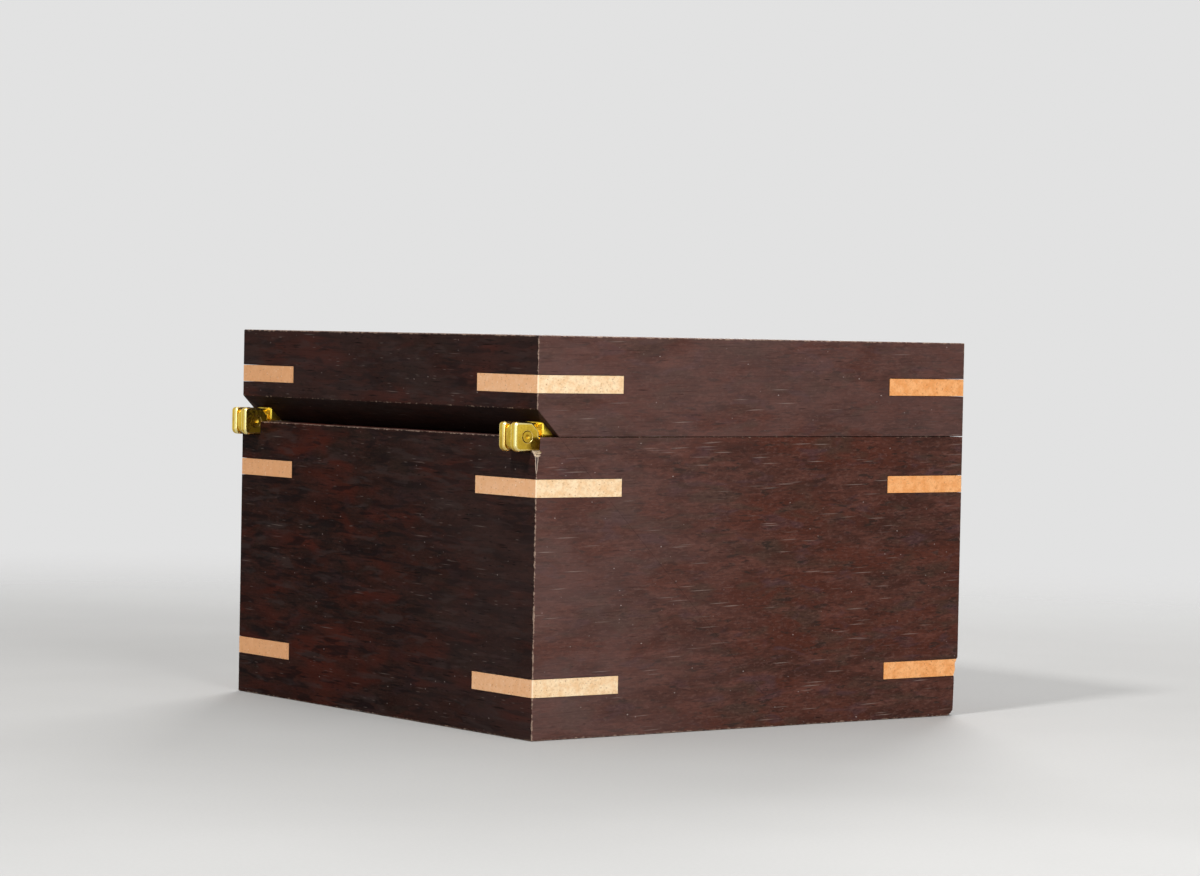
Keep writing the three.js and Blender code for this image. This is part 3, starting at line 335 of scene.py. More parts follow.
def dark_wood(name, along, seed, tilt, shade, blotches=BLOTCHES, back_darkness_and_shade=0.0):
    """Dark reddish-brown wood: blotches, fine figure, dark pores, pale pores that are partly
    painted glints, pale arrises that are partly wear and partly painted highlight, and a painted
    sheen.

    The last argument is how much darker the back of the box and the lid's bevel are painted: on the
    back partly the wood's own tone and partly painted shade, on the bevel painted shade.
    """
    look = Look(name)
    turn = (tilt, 0, 0) if along == "y" else (0, tilt, 0)
    start = [step * seed for step in SEED_STEP]

    def grain(long, tall, off=0.0):
        shift = (start[0] + off, start[1] + off, off)
        return look.place(grained(along, long, tall), turn, shift)

    def tone(red, green, blue):
        return shaded(srgb(red, green, blue), shade)

    def light_tone(red, green, blue):
        return shaded(srgb(red, green, blue), math.sqrt(shade * (1 - back_darkness_and_shade)))

    ground = look.noise(look.warp(grain(13, 3.2), 1.2), 3.0, 0.6)
    lines = look.noise(look.warp(grain(11, 0.30, 14), 0.8), 3.0, 0.75)
    crowd = look.noise(grain(22, 5, 27), 2.0, 0.6)
    pores = dark_pores(look, grain, crowd)
    filled_and_glints = filled_pores_and_glints(look, grain, crowd)
    # Pale dots: partly pale dust, partly painted glints.
    dots = look.dashes(look.warp(grain(1.9, 1.2, 61), 0.5), 0.16, 0.03, 0.15)
    dots = look.times(dots, look.rise(ground, 0.40, 0.60, 0.25, 0.9))
    bevel = bevel_face(look)
    dark_and_shaded = look.times(look.most(back_face(look), bevel), back_darkness_and_shade)
    wear_and_highlight = arris_wear_and_highlight(look)

    colour = blotched(look, grain, tone, ground, blotches)
    colour = look.mix(look.rise(lines, 0.50, 0.72, 0.0, 0.35), colour, tone(48, 32, 29))
    colour = look.mix(look.times(pores, 0.80), colour, tone(34, 25, 24))
    # The back is painted darker, partly the wood's own tone and partly painted shade; the lid's
    # bevel gets painted shade.
    colour = look.mix(dark_and_shaded, colour, srgb(0, 0, 0))
    # Pale pores: partly pale dust in them, partly painted glints.
    colour = look.mix(look.times(filled_and_glints, 0.55), colour, light_tone(152, 134, 126))
    colour = look.mix(dots, colour, light_tone(186, 168, 162))
    # Painted shade on the lid's bevel.
    colour = look.mix(look.times(bevel, 0.6), colour, tone(26, 16, 13))
    # Pale arrises: partly wear, partly a painted highlight.
    colour = look.mix(look.times(wear_and_highlight, 0.75), colour, srgb(160, 136, 120))

    rough = look.rise(look.noise(grain(8, 1.5, 71), 3.0), 0.3, 0.7, 0.46, 0.62)
    rough = look.plus(rough, look.times(wear_and_highlight, 0.2))
    height = look.minus(look.times(lines, -0.5), look.times(pores, 0.8))
    normal = look.bump(look.plus(height, look.times(filled_and_glints, -0.3)), 0.05)
    return look.finish(colour, rough, normal, Specular_IOR_Level=DARK_WOOD_SPECULAR)


def pale_wood(name, side, light, deep, rear):
    """Pale close-grained wood, its grain across the corner, with brown flecks and a pale arris,
    partly wear and partly a painted highlight.

    light and deep are its colours, and rear is the darker colour that they take at the back, partly
    the wood's own tone and partly painted shade.
    """
    look = Look(name)
    turn = (0, 0, 45 * side)

    def grain(long, tall, off=0.0):
        return look.place(grained("x", long, tall), turn, (off, off, off))

    clouds = look.noise(grain(3.4, 1.5), 3.0, 0.65)
    colour = look.mix(look.rise(clouds, 0.35, 0.65), light, deep)
    mottle = look.noise(look.warp(grain(0.8, 0.45, 5), 0.8), 3.0, 0.7)
    colour = look.mix(look.rise(mottle, 0.48, 0.66, 0.0, 0.50), colour, shaded(deep, 0.74))
    # Darker at the back: partly the wood's own tone, partly painted shade.
    colour = look.mix(look.times(back_face(look), 0.7), colour, rear)
    flecks = look.dashes(look.warp(grain(1.1, 0.5, 7), 0.6), 0.36, 0.10, 0.34)
    colour = look.mix(look.times(flecks, 0.60), colour, srgb(158, 96, 60))
    glints = look.dashes(look.place((0.8, 0.8, 0.6), shift=(2, 2, 2)), 0.28, 0.08, 0.30)
    colour = look.mix(look.times(glints, 0.5), colour, srgb(255, 240, 214))
    wear_and_highlight = look.rise(arris_distance(look), 0.34, 0.16)
    # Pale arris: partly wear, partly a painted highlight.
    colour = look.mix(look.times(wear_and_highlight, 0.6), colour, srgb(255, 238, 206))
    rough = look.rise(clouds, 0.3, 0.7, 0.44, 0.58)
    height = look.minus(look.times(mottle, -0.5), flecks)
    normal = look.bump(height, 0.03)
    return look.finish(colour, rough, normal, Specular_IOR_Level=PALE_WOOD_SPECULAR)


# The heights between which the broken wood is fresh: where that starts, and where it ends
FRESH_FROM = (59.7, 60.2)
FRESH_TO = (61.1, 61.5)


def torn_wood(name):
    """Rough fibres where dark wood has broken away, palest at the edges and where it is fresh."""
    look = Look(name)
    x, y, z = look.axes()
    inset = look.least(look.plus(x, HALF), look.minus(REAR, y))
    ragged = look.times(look.noise(look.place((0.4, 0.4, 0.4)), 3.0, 0.7), 0.16)
    rim = look.rise(look.minus(inset, ragged), 0.06, -0.02)
    fibres = look.noise(look.place((0.35, 0.35, 1.6)), 4.0, 0.7)
    colour = look.mix(look.rise(fibres, 0.50, 0.66), srgb(46, 32, 29), srgb(110, 88, 76))
    fresh = look.times(look.rise(z, *FRESH_FROM), look.rise(z, *FRESH_TO, 1.0, 0.0))
    fresh = look.times(fresh, look.rise(fibres, 0.36, 0.54))
    colour = look.mix(fresh, colour, srgb(190, 170, 146))
    colour = look.mix(rim, colour, srgb(164, 144, 128))
    return look.finish(colour, look.rise(fibres, 0.3, 0.7, 0.6, 0.8), look.bump(fibres, 0.15))


def panel_wood(name):
    """Figured brown wood: long wavy growth lines along x, with a soft ripple across them."""
    look = Look(name)

    def grain(long, tall, off=0.0):
        return look.place((long, tall, tall), (0, 0, 0), (off, off, off))

    figure = look.noise(look.warp(grain(70, 11), 1.3, 1.6), 1.5, 0.5)
    rings = look.math("PINGPONG", look.times(figure, 11.0), 1.0)
    colour = look.mix(look.rise(rings, 0.10, 0.90), srgb(101, 64, 50), srgb(74, 47, 39))
    tint = look.noise(grain(38, 9, 5), 2.0, 0.5)
    colour = look.mix(look.rise(tint, 0.42, 0.66, 0.0, 0.5), colour, srgb(88, 52, 41))
    ripple = look.noise(look.warp(look.place((3.2, 22, 22), (0, 0, 12)), 1.4), 2.0, 0.55)
    colour = look.mix(look.rise(ripple, 0.50, 0.76, 0.0, 0.22), colour, srgb(138, 92, 68))
    lines = look.noise(look.warp(grain(14, 0.30, 14), 0.8), 3.0, 0.75)
    colour = look.mix(look.rise(lines, 0.46, 0.70, 0.0, 0.6), colour, srgb(49, 32, 28))
    pores = look.dashes(look.warp(grain(5.5, 0.38, 31), 0.7), 0.4, 0.18, 0.42)
    colour = look.mix(look.times(pores, 0.65), colour, srgb(34, 23, 20))
    rough = look.rise(lines, 0.3, 0.7, 0.40, 0.54)
    height = look.minus(look.times(lines, -0.5), look.times(pores, 0.7))
    return look.finish(colour, rough, look.bump(height, 0.05), Specular_IOR_Level=PANEL_SPECULAR)


def metal(name, clean, dull, rough, along=None, scratch=0.02, tarnish=0.35, pits=0.0):
    """Metal with fine scratches or brushing, a little tarnish and uneven polish."""
    look = Look(name)
    clouds = look.noise(look.place((6, 6, 6)), 4.0, 0.6)
    spots = look.noise(look.place((0.9, 0.9, 0.9), shift=(3, 1, 2)), 3.0, 0.6)
    dullness = look.rise(look.plus(clouds, look.times(spots, 0.35)), 0.60, 0.82)
    colour = look.mix(look.times(dullness, tarnish), clean, dull)
    if along:
        marks = look.noise(look.place(grained(along, 7, 0.06)), 2.0, 0.6)
    else:
        first = look.noise(look.place((4, 0.07, 0.07), (12, 9, 31)), 2.0, 0.7)
        second = look.noise(look.place((0.08, 3.5, 0.08), (7, 24, -18), (5, 2, 1)), 2.0, 0.7)
        marks = look.most(first, second)
    uneven = look.rise(marks, 0.35, 0.75, rough * 0.8, rough * 1.5)
    roughness = look.plus(uneven, look.times(dullness, 0.14))
    normal = look.bump(marks, scratch)
    if pits:
        grit = look.noise(look.place((0.32, 0.32, 0.32), shift=(7, 3, 5)), 3.0, 0.6)
        colour = look.mix(look.rise(grit, 0.52, 0.72, 0.0, 0.55), colour, dull)
        normal = look.bump(grit, pits, normal)
    return look.finish(colour, roughness, normal, Metallic=1.0)


def pinned_brass(name, centre, radius):
    """Satin brass whose pins, which stand out past the barrel, are steel."""
    look = Look(name)
    x, y, z = look.axes()
    across, up = look.minus(y, centre[0]), look.minus(z, centre[1])
    square = look.plus(look.times(across, across), look.times(up, up))
    out = look.rise(look.math("SQRT", square), radius + 0.03, radius + 0.10)
    rings = look.noise(look.place((0.05, 6, 6)), 2.0, 0.6)
    brass = look.mix(look.rise(rings, 0.4, 0.7), srgb(222, 188, 116), srgb(193, 156, 88))
    colour = look.mix(out, brass, srgb(196, 196, 198))
    rough = look.rise(rings, 0.35, 0.7, 0.20, 0.34)
    return look.finish(colour, rough, look.bump(rings, 0.01), Metallic=1.0)


def clear_glass(name):
    """Clear glass with faint smears and a little dust."""
    look = Look(name)
    smears = look.noise(look.warp(look.place((26, 9, 9), (0, 0, 30)), 1.5), 3.0, 0.6)
    dust = look.rise(look.cells(look.place((2.2, 2.2, 2.2))), 0.02, 0.06, 1.0, 0.0)
    rough = look.plus(look.rise(smears, 0.45, 0.75, 0.0, 0.10), look.times(dust, 0.25))
    colour = look.mix(look.times(dust, 0.25), srgb(240, 248, 246), srgb(215, 215, 210))
    return look.finish(colour, rough, look.bump(smears, 0.004), IOR=1.5, Transmission_Weight=1.0)


def wool_felt(name):
    """Short matted wool pile, uneven in colour, with stray lighter fibres."""
    look = Look(name)
    clouds = look.noise(look.place((7, 7, 7)), 3.0, 0.6)
    colour = look.mix(look.rise(clouds, 0.35, 0.65), srgb(112, 34, 44), srgb(92, 25, 35))
    pile = look.noise(look.warp(look.place((0.35, 0.35, 0.35)), 1.5), 4.0, 0.7)
    colour = look.mix(look.rise(pile, 0.42, 0.62, 0.0, 0.5), colour, srgb(66, 16, 25))
    first = look.rise(look.noise(look.place((2.6, 0.10, 0.3), (0, 0, 25)), 1.0), 0.66, 0.74)
    second = look.rise(look.noise(look.place((0.10, 2.3, 0.3), (0, 0, 12)), 1.0), 0.66, 0.74)
    strands = look.most(first, second)
    colour = look.mix(look.times(strands, 0.4), colour, srgb(168, 84, 92))
    rough = look.rise(pile, 0.3, 0.7, 0.85, 1.0)
    normal = look.bump(look.plus(pile, look.times(strands, 0.4)), 0.16)
    return look.finish(colour, rough, normal, Sheen_Weight=0.35, Sheen_Roughness=0.4)


# Shapes


def solid(name, form):
    """An object made from a bmesh, linked to the scene."""
    mesh = bpy.data.meshes.new(name)
    form.to_mesh(mesh)
    form.free()
    made = bpy.data.objects.new(name, mesh)
    bpy.context.scene.collection.objects.link(made)
    return made


def prism(profile, low, high):
    """A profile of (y, z) points, run along x from low to high."""
    form = bmesh.new()
    ends = [[form.verts.new((x * MM, y * MM, z * MM)) for y, z in profile] for x in (low, high)]
    for i in range(len(profile)):
        j = (i + 1) % len(profile)
        form.faces.new((ends[0][i], ends[0][j], ends[1][j], ends[1][i]))
    form.faces.new(ends[0])
    form.faces.new(ends[1])
    bmesh.ops.recalc_face_normals(form, faces=form.faces)
    return form


def loft(name, levels):
    """A solid through closed rings of points, one above the other."""
    form = bmesh.new()
    rings = [[form.verts.new([c * MM for c in point]) for point in ring] for ring in levels]
    for low, high in zip(rings, rings[1:]):
        for i in range(len(low)):
            j = (i + 1) % len(low)
            form.faces.new((low[i], low[j], high[j], high[i]))
    form.faces.new(rings[0])
    form.faces.new(rings[-1])
    bmesh.ops.recalc_face_normals(form, faces=form.faces)
    return solid(name, form)


def eased_envelope(name, profile, seam, seam_share):
    """The outside of the case or the lid with every arris rounded, less at the seam's height."""
    form = prism(profile, -HALF, HALF)
    share = form.edges.layers.float.new("bevel_weight_edge")
    for edge in form.edges:
        at_seam = all(abs(corner.co.z - seam * MM) < SAME_POINT for corner in edge.verts)
        edge[share] = seam_share if at_seam else 1.0
    envelope = solid(name, form)
    rounding = envelope.modifiers.new("rounding", "BEVEL")
    rounding.limit_method = "WEIGHT"
    rounding.width = ARRIS * MM
    rounding.segments = ARRIS_STEPS
    return envelope


# The easing of a rim's inner arris, and how far its cutter keeps from what it doesn't cut
RIM_EASE = 0.3
RIM_STEPS = 4
RIM_REACH = 0.5
RIM_INSET = 0.4
RIM_CLEAR = 0.002
SQUARE = ((-1, -1), (1, -1), (1, 1), (-1, 1))


def rim_cutter(name, rim, up):
    """What eases the inner arris of a rim at height rim, whose open side is up (1) or down (-1)."""
    levels = [(rim - up * (RIM_EASE + RIM_REACH), INNER - RIM_INSET)]
    for step in range(RIM_STEPS + 1):
        angle = math.radians(90 * step / RIM_STEPS)
        fall = RIM_EASE * (1 - math.sin(angle))
        levels.append((rim - up * fall, INNER + RIM_EASE * (1 - math.cos(angle)) + RIM_CLEAR))
    levels.append((rim + up * RIM_REACH, INNER + RIM_EASE + RIM_CLEAR))
    rings = []
    for z, half in levels:
        rings.append([(sx * half, CENTRE_Y + sy * half, z) for sx, sy in SQUARE])
    return loft(name, rings)


# What is missing at two upright corners, level by level: the height, the loss along y on the
# side's face, the loss along y where the loss along x ends, and the loss along x
HINGE_CHIP = [
    (65.5, 0.78, 2.2, 1.95),
    (63.2, 0.88, 2.3, 1.95),
    (61.3, 0.76, 2.1, 1.95),
    (60.5, 0.74, 0.50, 1.1),
    (59.9, 0.50, 0.0, 0.50),
    (58.6, 0.38, 0.0, 0.42),
    (57.2, 0.28, 0.0, 0.30),
    (55.5, 0.04, 0.0, 0.04),
]
FRONT_WEAR = [
    (-0.6, 3.40, 0.0, 3.30),
    (0.0, 2.90, 0.0, 2.80),
    (0.6, 1.90, 0.0, 2.00),
    (1.3, 1.35, 0.0, 1.55),
    (4.0, 1.25, 0.0, 1.45),
    (8.6, 1.15, 0.0, 1.35),
    (9.4, 1.30, 0.0, 1.55),
    (10.6, 0.85, 0.0, 1.00),
    (12.0, 1.00, 0.0, 1.20),
    (12.95, 0.45, 0.0, 0.50),
    (13.6, 0.03, 0.0, 0.03),
]
CUTTER_OUTSIDE = 1.4  # how far these cutters stand outside the box


def corner_cutter(name, corner, inward, levels):
    """A cutter for what is missing at a corner; inward is where the box lies from there."""
    (cx, cy), (ix, iy) = corner, inward
    rings = []
    for z, along_y, deep, along_x in levels:
        beyond = along_y + (along_y - deep) * CUTTER_OUTSIDE / along_x
        ring = [
            (cx - ix * CUTTER_OUTSIDE, cy + iy * beyond),
            (cx + ix * along_x, cy + iy * deep),
            (cx + ix * along_x, cy - iy * CUTTER_OUTSIDE),
            (cx - ix * CUTTER_OUTSIDE, cy - iy * CUTTER_OUTSIDE),
        ]
        rings.append([(x, y, z) for x, y in ring])
    return loft(name, rings)


def welded(node, name):
    """A copy of a CAD node whose triangles share their corners."""
    form = bmesh.new()
    form.from_mesh(cad[node].data)
    bmesh.ops.remove_doubles(form, verts=form.verts, dist=SAME_POINT)
    return solid(name, form)


def carve(piece, tools):
    """Applies Booleans to a piece: each tool is (solid, operation)."""
    for tool, operation in tools:
        cut = piece.modifiers.new("cut", "BOOLEAN")
        cut.object = tool
        cut.operation = operation
        cut.solver = "EXACT"
        cut.material_mode = "TRANSFER"
    shapes = bpy.context.evaluated_depsgraph_get()
    carved = bpy.data.meshes.new_from_object(piece.evaluated_get(shapes))
    piece.modifiers.clear()
    piece.data = carved


def weigh_normals(piece):
    """Normals that follow the large faces, with the sharp edges kept."""
    weigh = piece.modifiers.new("weigh", "WEIGHTED_NORMAL")
    weigh.keep_sharp = True


SLIVER = 2e-7  # in metres: what a Boolean leaves between points that belong together


def crisp(piece):
    """Smooth shading with sharp edges kept."""
    form = bmesh.new()
    form.from_mesh(piece.data)
    bmesh.ops.remove_doubles(form, verts=form.verts, dist=SLIVER)
    bmesh.ops.dissolve_degenerate(form, dist=SLIVER, edges=form.edges)
    for face in form.faces:
        face.smooth = True
    for edge in form.edges:
        edge.smooth = len(edge.link_faces) == 2 and edge.calc_face_angle(0.0) < SHARP_ANGLE
    form.to_mesh(piece.data)
    form.free()
    weigh_normals(piece)


# The wooden boards


def board(node, material, tools, body):
    """A wooden piece that stands for a CAD node, with eased arrises."""
    piece = welded(node, "eased_" + node)
    piece.data.materials.append(material)
    carve(piece, tools)
    crisp(piece)
    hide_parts(node)
    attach(piece, body)


def make_woods():
    """The dark wood of each side, and the pale wood of each corner."""
    dark = {
        "front": dark_wood("dark_wood_front", "x", 1, 0.8, 0.86),
        # The back is painted darker here: partly its own tone, partly painted shade.
        "back": dark_wood("dark_wood_back", "x", 3, -0.6, 0.86, BLOTCHES + BOLD_BLOTCHES, 0.71),
        "left": dark_wood("dark_wood_left", "y", 5, -1.3, 0.85),
        "right": dark_wood("dark_wood_right", "y", 7, 0.9, 0.94),
    }
    # The third colour of each is the back's: partly its own tone, partly painted shade.
    honey = (srgb(253, 184, 121), srgb(240, 162, 95), srgb(222, 166, 120))
    # The cream of the near corner is paler than the honey partly as painted light, since that
    # corner faces the lamps.
    cream = (srgb(255, 227, 187), srgb(244, 204, 156), srgb(233, 167, 116))
    pale = {
        "front_left": pale_wood("pale_wood_front_left", 1, *honey),
        "front_right": pale_wood("pale_wood_front_right", -1, *honey),
        "back_right": pale_wood("pale_wood_back_right", 1, *honey),
        "back_left": pale_wood("pale_wood_back_left", -1, *cream),
    }
    return dark, pale


def make_boards():
    """The walls and splines of the case and the lid."""
    case_profile = [(FRONT, 0), (REAR, 0), (REAR, CASE_TOP), (FRONT, CASE_TOP)]
    lid_profile = [
        (FRONT, LID_BOTTOM),
        (REAR - LID_BEVEL, LID_BOTTOM),
        (REAR, LID_BOTTOM + LID_BEVEL),
        (REAR, LID_TOP),
        (FRONT, LID_TOP),
    ]
    case_outside = eased_envelope("case_outside", case_profile, CASE_TOP, CASE_SEAM_SHARE)
    lid_outside = eased_envelope("lid_outside", lid_profile, LID_BOTTOM, LID_SEAM_SHARE)
    case_rim = rim_cutter("case_rim", CASE_TOP, 1)
    lid_rim = rim_cutter("lid_rim", LID_BOTTOM, -1)
    chip = corner_cutter("chip", (-HALF, REAR), (1, -1), HINGE_CHIP)
    chip.data.materials.append(torn_wood("torn_wood"))
    wear = corner_cutter("wear", (-HALF, FRONT), (1, 1), FRONT_WEAR)

    dark, pale = make_woods()
    for side, wood in dark.items():
        tools = [(case_outside, "INTERSECT"), (case_rim, "DIFFERENCE")]
        if side in ("back", "left"):
            tools.append((chip, "DIFFERENCE"))
        if side in ("front", "left"):
            tools.append((wear, "DIFFERENCE"))
        board(f"case_{side}_wall", wood, tools, "case")
        tools = [(lid_outside, "INTERSECT"), (lid_rim, "DIFFERENCE")]
        board(f"lid_{side}_wall", wood, tools, "lid")

    for corner, wood in pale.items():
        for level in ("lower", "upper"):
            tools = [(case_outside, "INTERSECT")]
            if (corner, level) == ("front_left", "lower"):
                tools.append((wear, "DIFFERENCE"))
            board(f"case_spline_{corner}_{level}", wood, tools, "case")
        board(f"lid_spline_{corner}", wood, [(lid_outside, "INTERSECT")], "lid")

    for tool in (case_outside, lid_outside, case_rim, lid_rim, chip, wear):
        bpy.data.objects.remove(tool)


# The felt


# In millimetres: the lumps as (size, height), how far the face lies below the top of the space
# that the felt has, how far a cut edge drops, and over what width
FELT_LUMPS = ((9, 0.05), (2.1, 0.035))
FELT_BELOW = 0.09
FELT_DROP = 0.45
FELT_EDGE = 1.2
FELT_COLUMNS, FELT_ROWS = 150, 62


def felt_height(x, y, low, high):
    """The height of the felt's face: lumpy, and dropping at its cut edges."""
    rim = min(x - low.x, high.x - x, y - low.y, high.y - y) / MM
    lumps = 0.0
    for layer, (size, height) in enumerate(FELT_LUMPS):
        lumps += noise.noise(Vector((x, y, layer)) / (size * MM)) * height
    drop = FELT_DROP * max(0.0, 1 - rim / FELT_EDGE) ** 2
    return high.z - (FELT_BELOW - lumps + drop) * MM


def felt_grid(form, low, high, face):
    """A grid of points: the flat underside (face 0) or the lumpy upper face (face 1)."""
    grid = []
    for i in range(FELT_COLUMNS + 1):
        line = []
        for j in range(FELT_ROWS + 1):
            x = low.x + (high.x - low.x) * i / FELT_COLUMNS
            y = low.y + (high.y - low.y) * j / FELT_ROWS
            z = felt_height(x, y, low, high) if face else low.z
            line.append(form.verts.new((x, y, z)))
        grid.append(line)
    return grid


def make_felt(material):
    """The felt liner: a flat woollen sheet with soft edges and a slightly uneven face."""
    low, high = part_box("felt_liner")
    columns, rows = FELT_COLUMNS, FELT_ROWS
    form = bmesh.new()
    grids = [felt_grid(form, low, high, face) for face in (0, 1)]
    for i in range(columns):
        for j in range(rows):
            for face, grid in enumerate(grids):
                ring = (grid[i][j], grid[i + 1][j], grid[i + 1][j + 1], grid[i][j + 1])
                form.faces.new(ring if face else ring[::-1])
    border = [(i, 0) for i in range(columns)] + [(columns, j) for j in range(rows)]
    border += [(i, rows) for i in range(columns, 0, -1)] + [(0, j) for j in range(rows, 0, -1)]
    under, upper = grids
    for (a, b), (c, d) in zip(border, border[1:] + border[:1]):
        form.faces.new((under[a][b], under[c][d], upper[c][d], upper[a][b]))
    for face in form.faces:
        face.smooth = True
    piece = solid("felt_sheet", form)
    piece.data.materials.append(material)
    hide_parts("felt_liner")
    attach(piece, "case")


# The hinge leaves


LEAF_ROUNDING = 0.5
LEAF_STEPS = 4
PIN_Y = middle_of("hinge_left_pin", "y")
PIN_Z = middle_of("hinge_left_pin", "z")
LEG_END = 55.2  # y, just behind the rear ends of the legs

# Distances from the pin: within the bore's rim, and where the leg's holes and its neck lie
BORE_REACH = 1.8
LEG_FROM, LEG_TO = 4.5, 38.0
LEG_HALF = 2.3  # to either side of the hinge's middle, short of the leg's outer arrises
SMALL_SHARE = 0.25

# Material slots of a leaf, and what the bevel takes instead where the arrises have none
LEG_SLOT, KNUCKLE_SLOT, ARRIS_SLOT = 0, 1, 2
AS_BESIDE = -1


def leaf_share(middle, hinge_x):
    """The share of the full rounding that an arris gets: little at the bore, holes and neck."""
    from_pin = math.hypot(middle.y / MM - PIN_Y, middle.z / MM - PIN_Z)
    in_bore = from_pin < BORE_REACH
    inside_leg = abs(middle.x / MM - hinge_x) < LEG_HALF and LEG_FROM < from_pin < LEG_TO
    return SMALL_SHARE if in_bore or inside_leg else 1.0


ON_PLANE = 1e-7  # in metres
FLAT_ANGLE = math.radians(1)


def split_at(form, point, normal):
    """Cuts all faces along a plane, and marks the cut edges so that they stay."""
    everything = form.verts[:] + form.edges[:] + form.faces[:]
    plane = {"plane_co": point, "plane_no": normal, "dist": ON_PLANE}
    cut = bmesh.ops.bisect_plane(form, geom=everything, **plane)
    for part in cut["geom_cut"]:
        if isinstance(part, bmesh.types.BMEdge):
            part.seam = True


def merge_flat_faces(form, hinge_x):
    """Merges the triangles of each flat face into halves that have no hole in them."""
    split_at(form, (hinge_x * MM, 0, 0), (1, 0, 0))
    split_at(form, (0, PIN_Y * MM, 0), (0, 1, 0))
    bmesh.ops.dissolve_limit(
        form, angle_limit=FLAT_ANGLE, verts=form.verts, edges=form.edges, delimit={"SEAM"}
    )


def shape_leaf(form, hinge_x):
    """Readies a leaf's mesh for rounding: a share for each outer arris, and its material slots."""
    merge_flat_faces(form, hinge_x)
    share = form.edges.layers.float.new("bevel_weight_edge")
    for edge in form.edges:
        turns = len(edge.link_faces) == 2 and edge.calc_face_angle(0.0) > SHARP_ANGLE
        if turns and edge.is_convex:
            middle = (edge.verts[0].co + edge.verts[1].co) / 2
            edge[share] = leaf_share(middle, hinge_x)
        edge.smooth = edge.is_convex or not turns
    for face in form.faces:
        face.smooth = True
        of_knuckle = face.calc_center_median().y / MM > LEG_END
        face.material_index = KNUCKLE_SLOT if of_knuckle else LEG_SLOT


def hinge_leaf(node, leg, knuckle, arrises, body):
    """A leaf that stands for a CAD node, in three materials; arrises may be None."""
    piece = welded(node, "polished_" + node)
    for material in filter(None, (leg, knuckle, arrises)):
        piece.data.materials.append(material)
    form = bmesh.new()
    form.from_mesh(piece.data)
    shape_leaf(form, middle_of(node, "x"))
    form.to_mesh(piece.data)
    form.free()
    rounding = piece.modifiers.new("rounding", "BEVEL")
    rounding.limit_method = "WEIGHT"
    rounding.width = LEAF_ROUNDING * MM
    rounding.segments = LEAF_STEPS
    rounding.miter_outer = "MITER_ARC"
    rounding.use_clamp_overlap = False
    rounding.material = ARRIS_SLOT if arrises else AS_BESIDE
    weigh_normals(piece)
    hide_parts(node)
    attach(piece, body)


# Pieces kept from the CAD


def soften(node, width, steps=2):
    """Rounds the arrises of a CAD node, by a width in millimetres."""
    piece = cad[node]
    weld = piece.modifiers.new("weld", "WELD")
    weld.merge_threshold = SAME_POINT
    ease = piece.modifiers.new("ease", "BEVEL")
    ease.width = width * MM
    ease.segments = steps
    ease.limit_method = "ANGLE"
    ease.angle_limit = SHARP_ANGLE
    ease.miter_outer = "MITER_ARC"
    piece.modifiers.new("weigh", "WEIGHTED_NORMAL")


def paint(names, material):
    """Gives CAD nodes their only material."""
    for name in names:
        cad[name].data.materials.clear()
        cad[name].data.materials.append(material)


SCREW_EASE = 0.06
PANEL_EASE = 0.2


def make_hinges():
    """Polished leaves, pins and screws."""
    clean, dull = srgb(232, 196, 66), srgb(170, 134, 40)
    polished = metal("hinge_brass", clean, dull, 0.18, scratch=0.003, tarnish=0.6, pits=0.003)
    # A brighter copy of the brass for the lid leaves' legs: painted light.
    clean, dull = srgb(255, 226, 84), srgb(232, 190, 60)
    bright = metal("lid_leaf_brass", clean, dull, 0.28, scratch=0.003, tarnish=0.5, pits=0.002)
    # A paler, smoother brass for the case leaves' arrises: a painted highlight.
    clean, dull = srgb(255, 240, 166), srgb(238, 204, 108)
    highlight_brass = metal("arris_highlight_brass", clean, dull, 0.12, scratch=0.002, tarnish=0.8)
    for side in ("left", "right"):
        hinge_leaf(f"hinge_{side}_case_leaf", polished, polished, highlight_brass, "case")
        hinge_leaf(f"hinge_{side}_lid_leaf", bright, polished, None, "lid")
        paint([f"hinge_{side}_pin"], polished)
        for half in ("case", "lid"):
            for number in (1, 2):
                screw = f"hinge_{side}_{half}_screw_{number}"
                paint([screw], polished)
                soften(screw, SCREW_EASE)


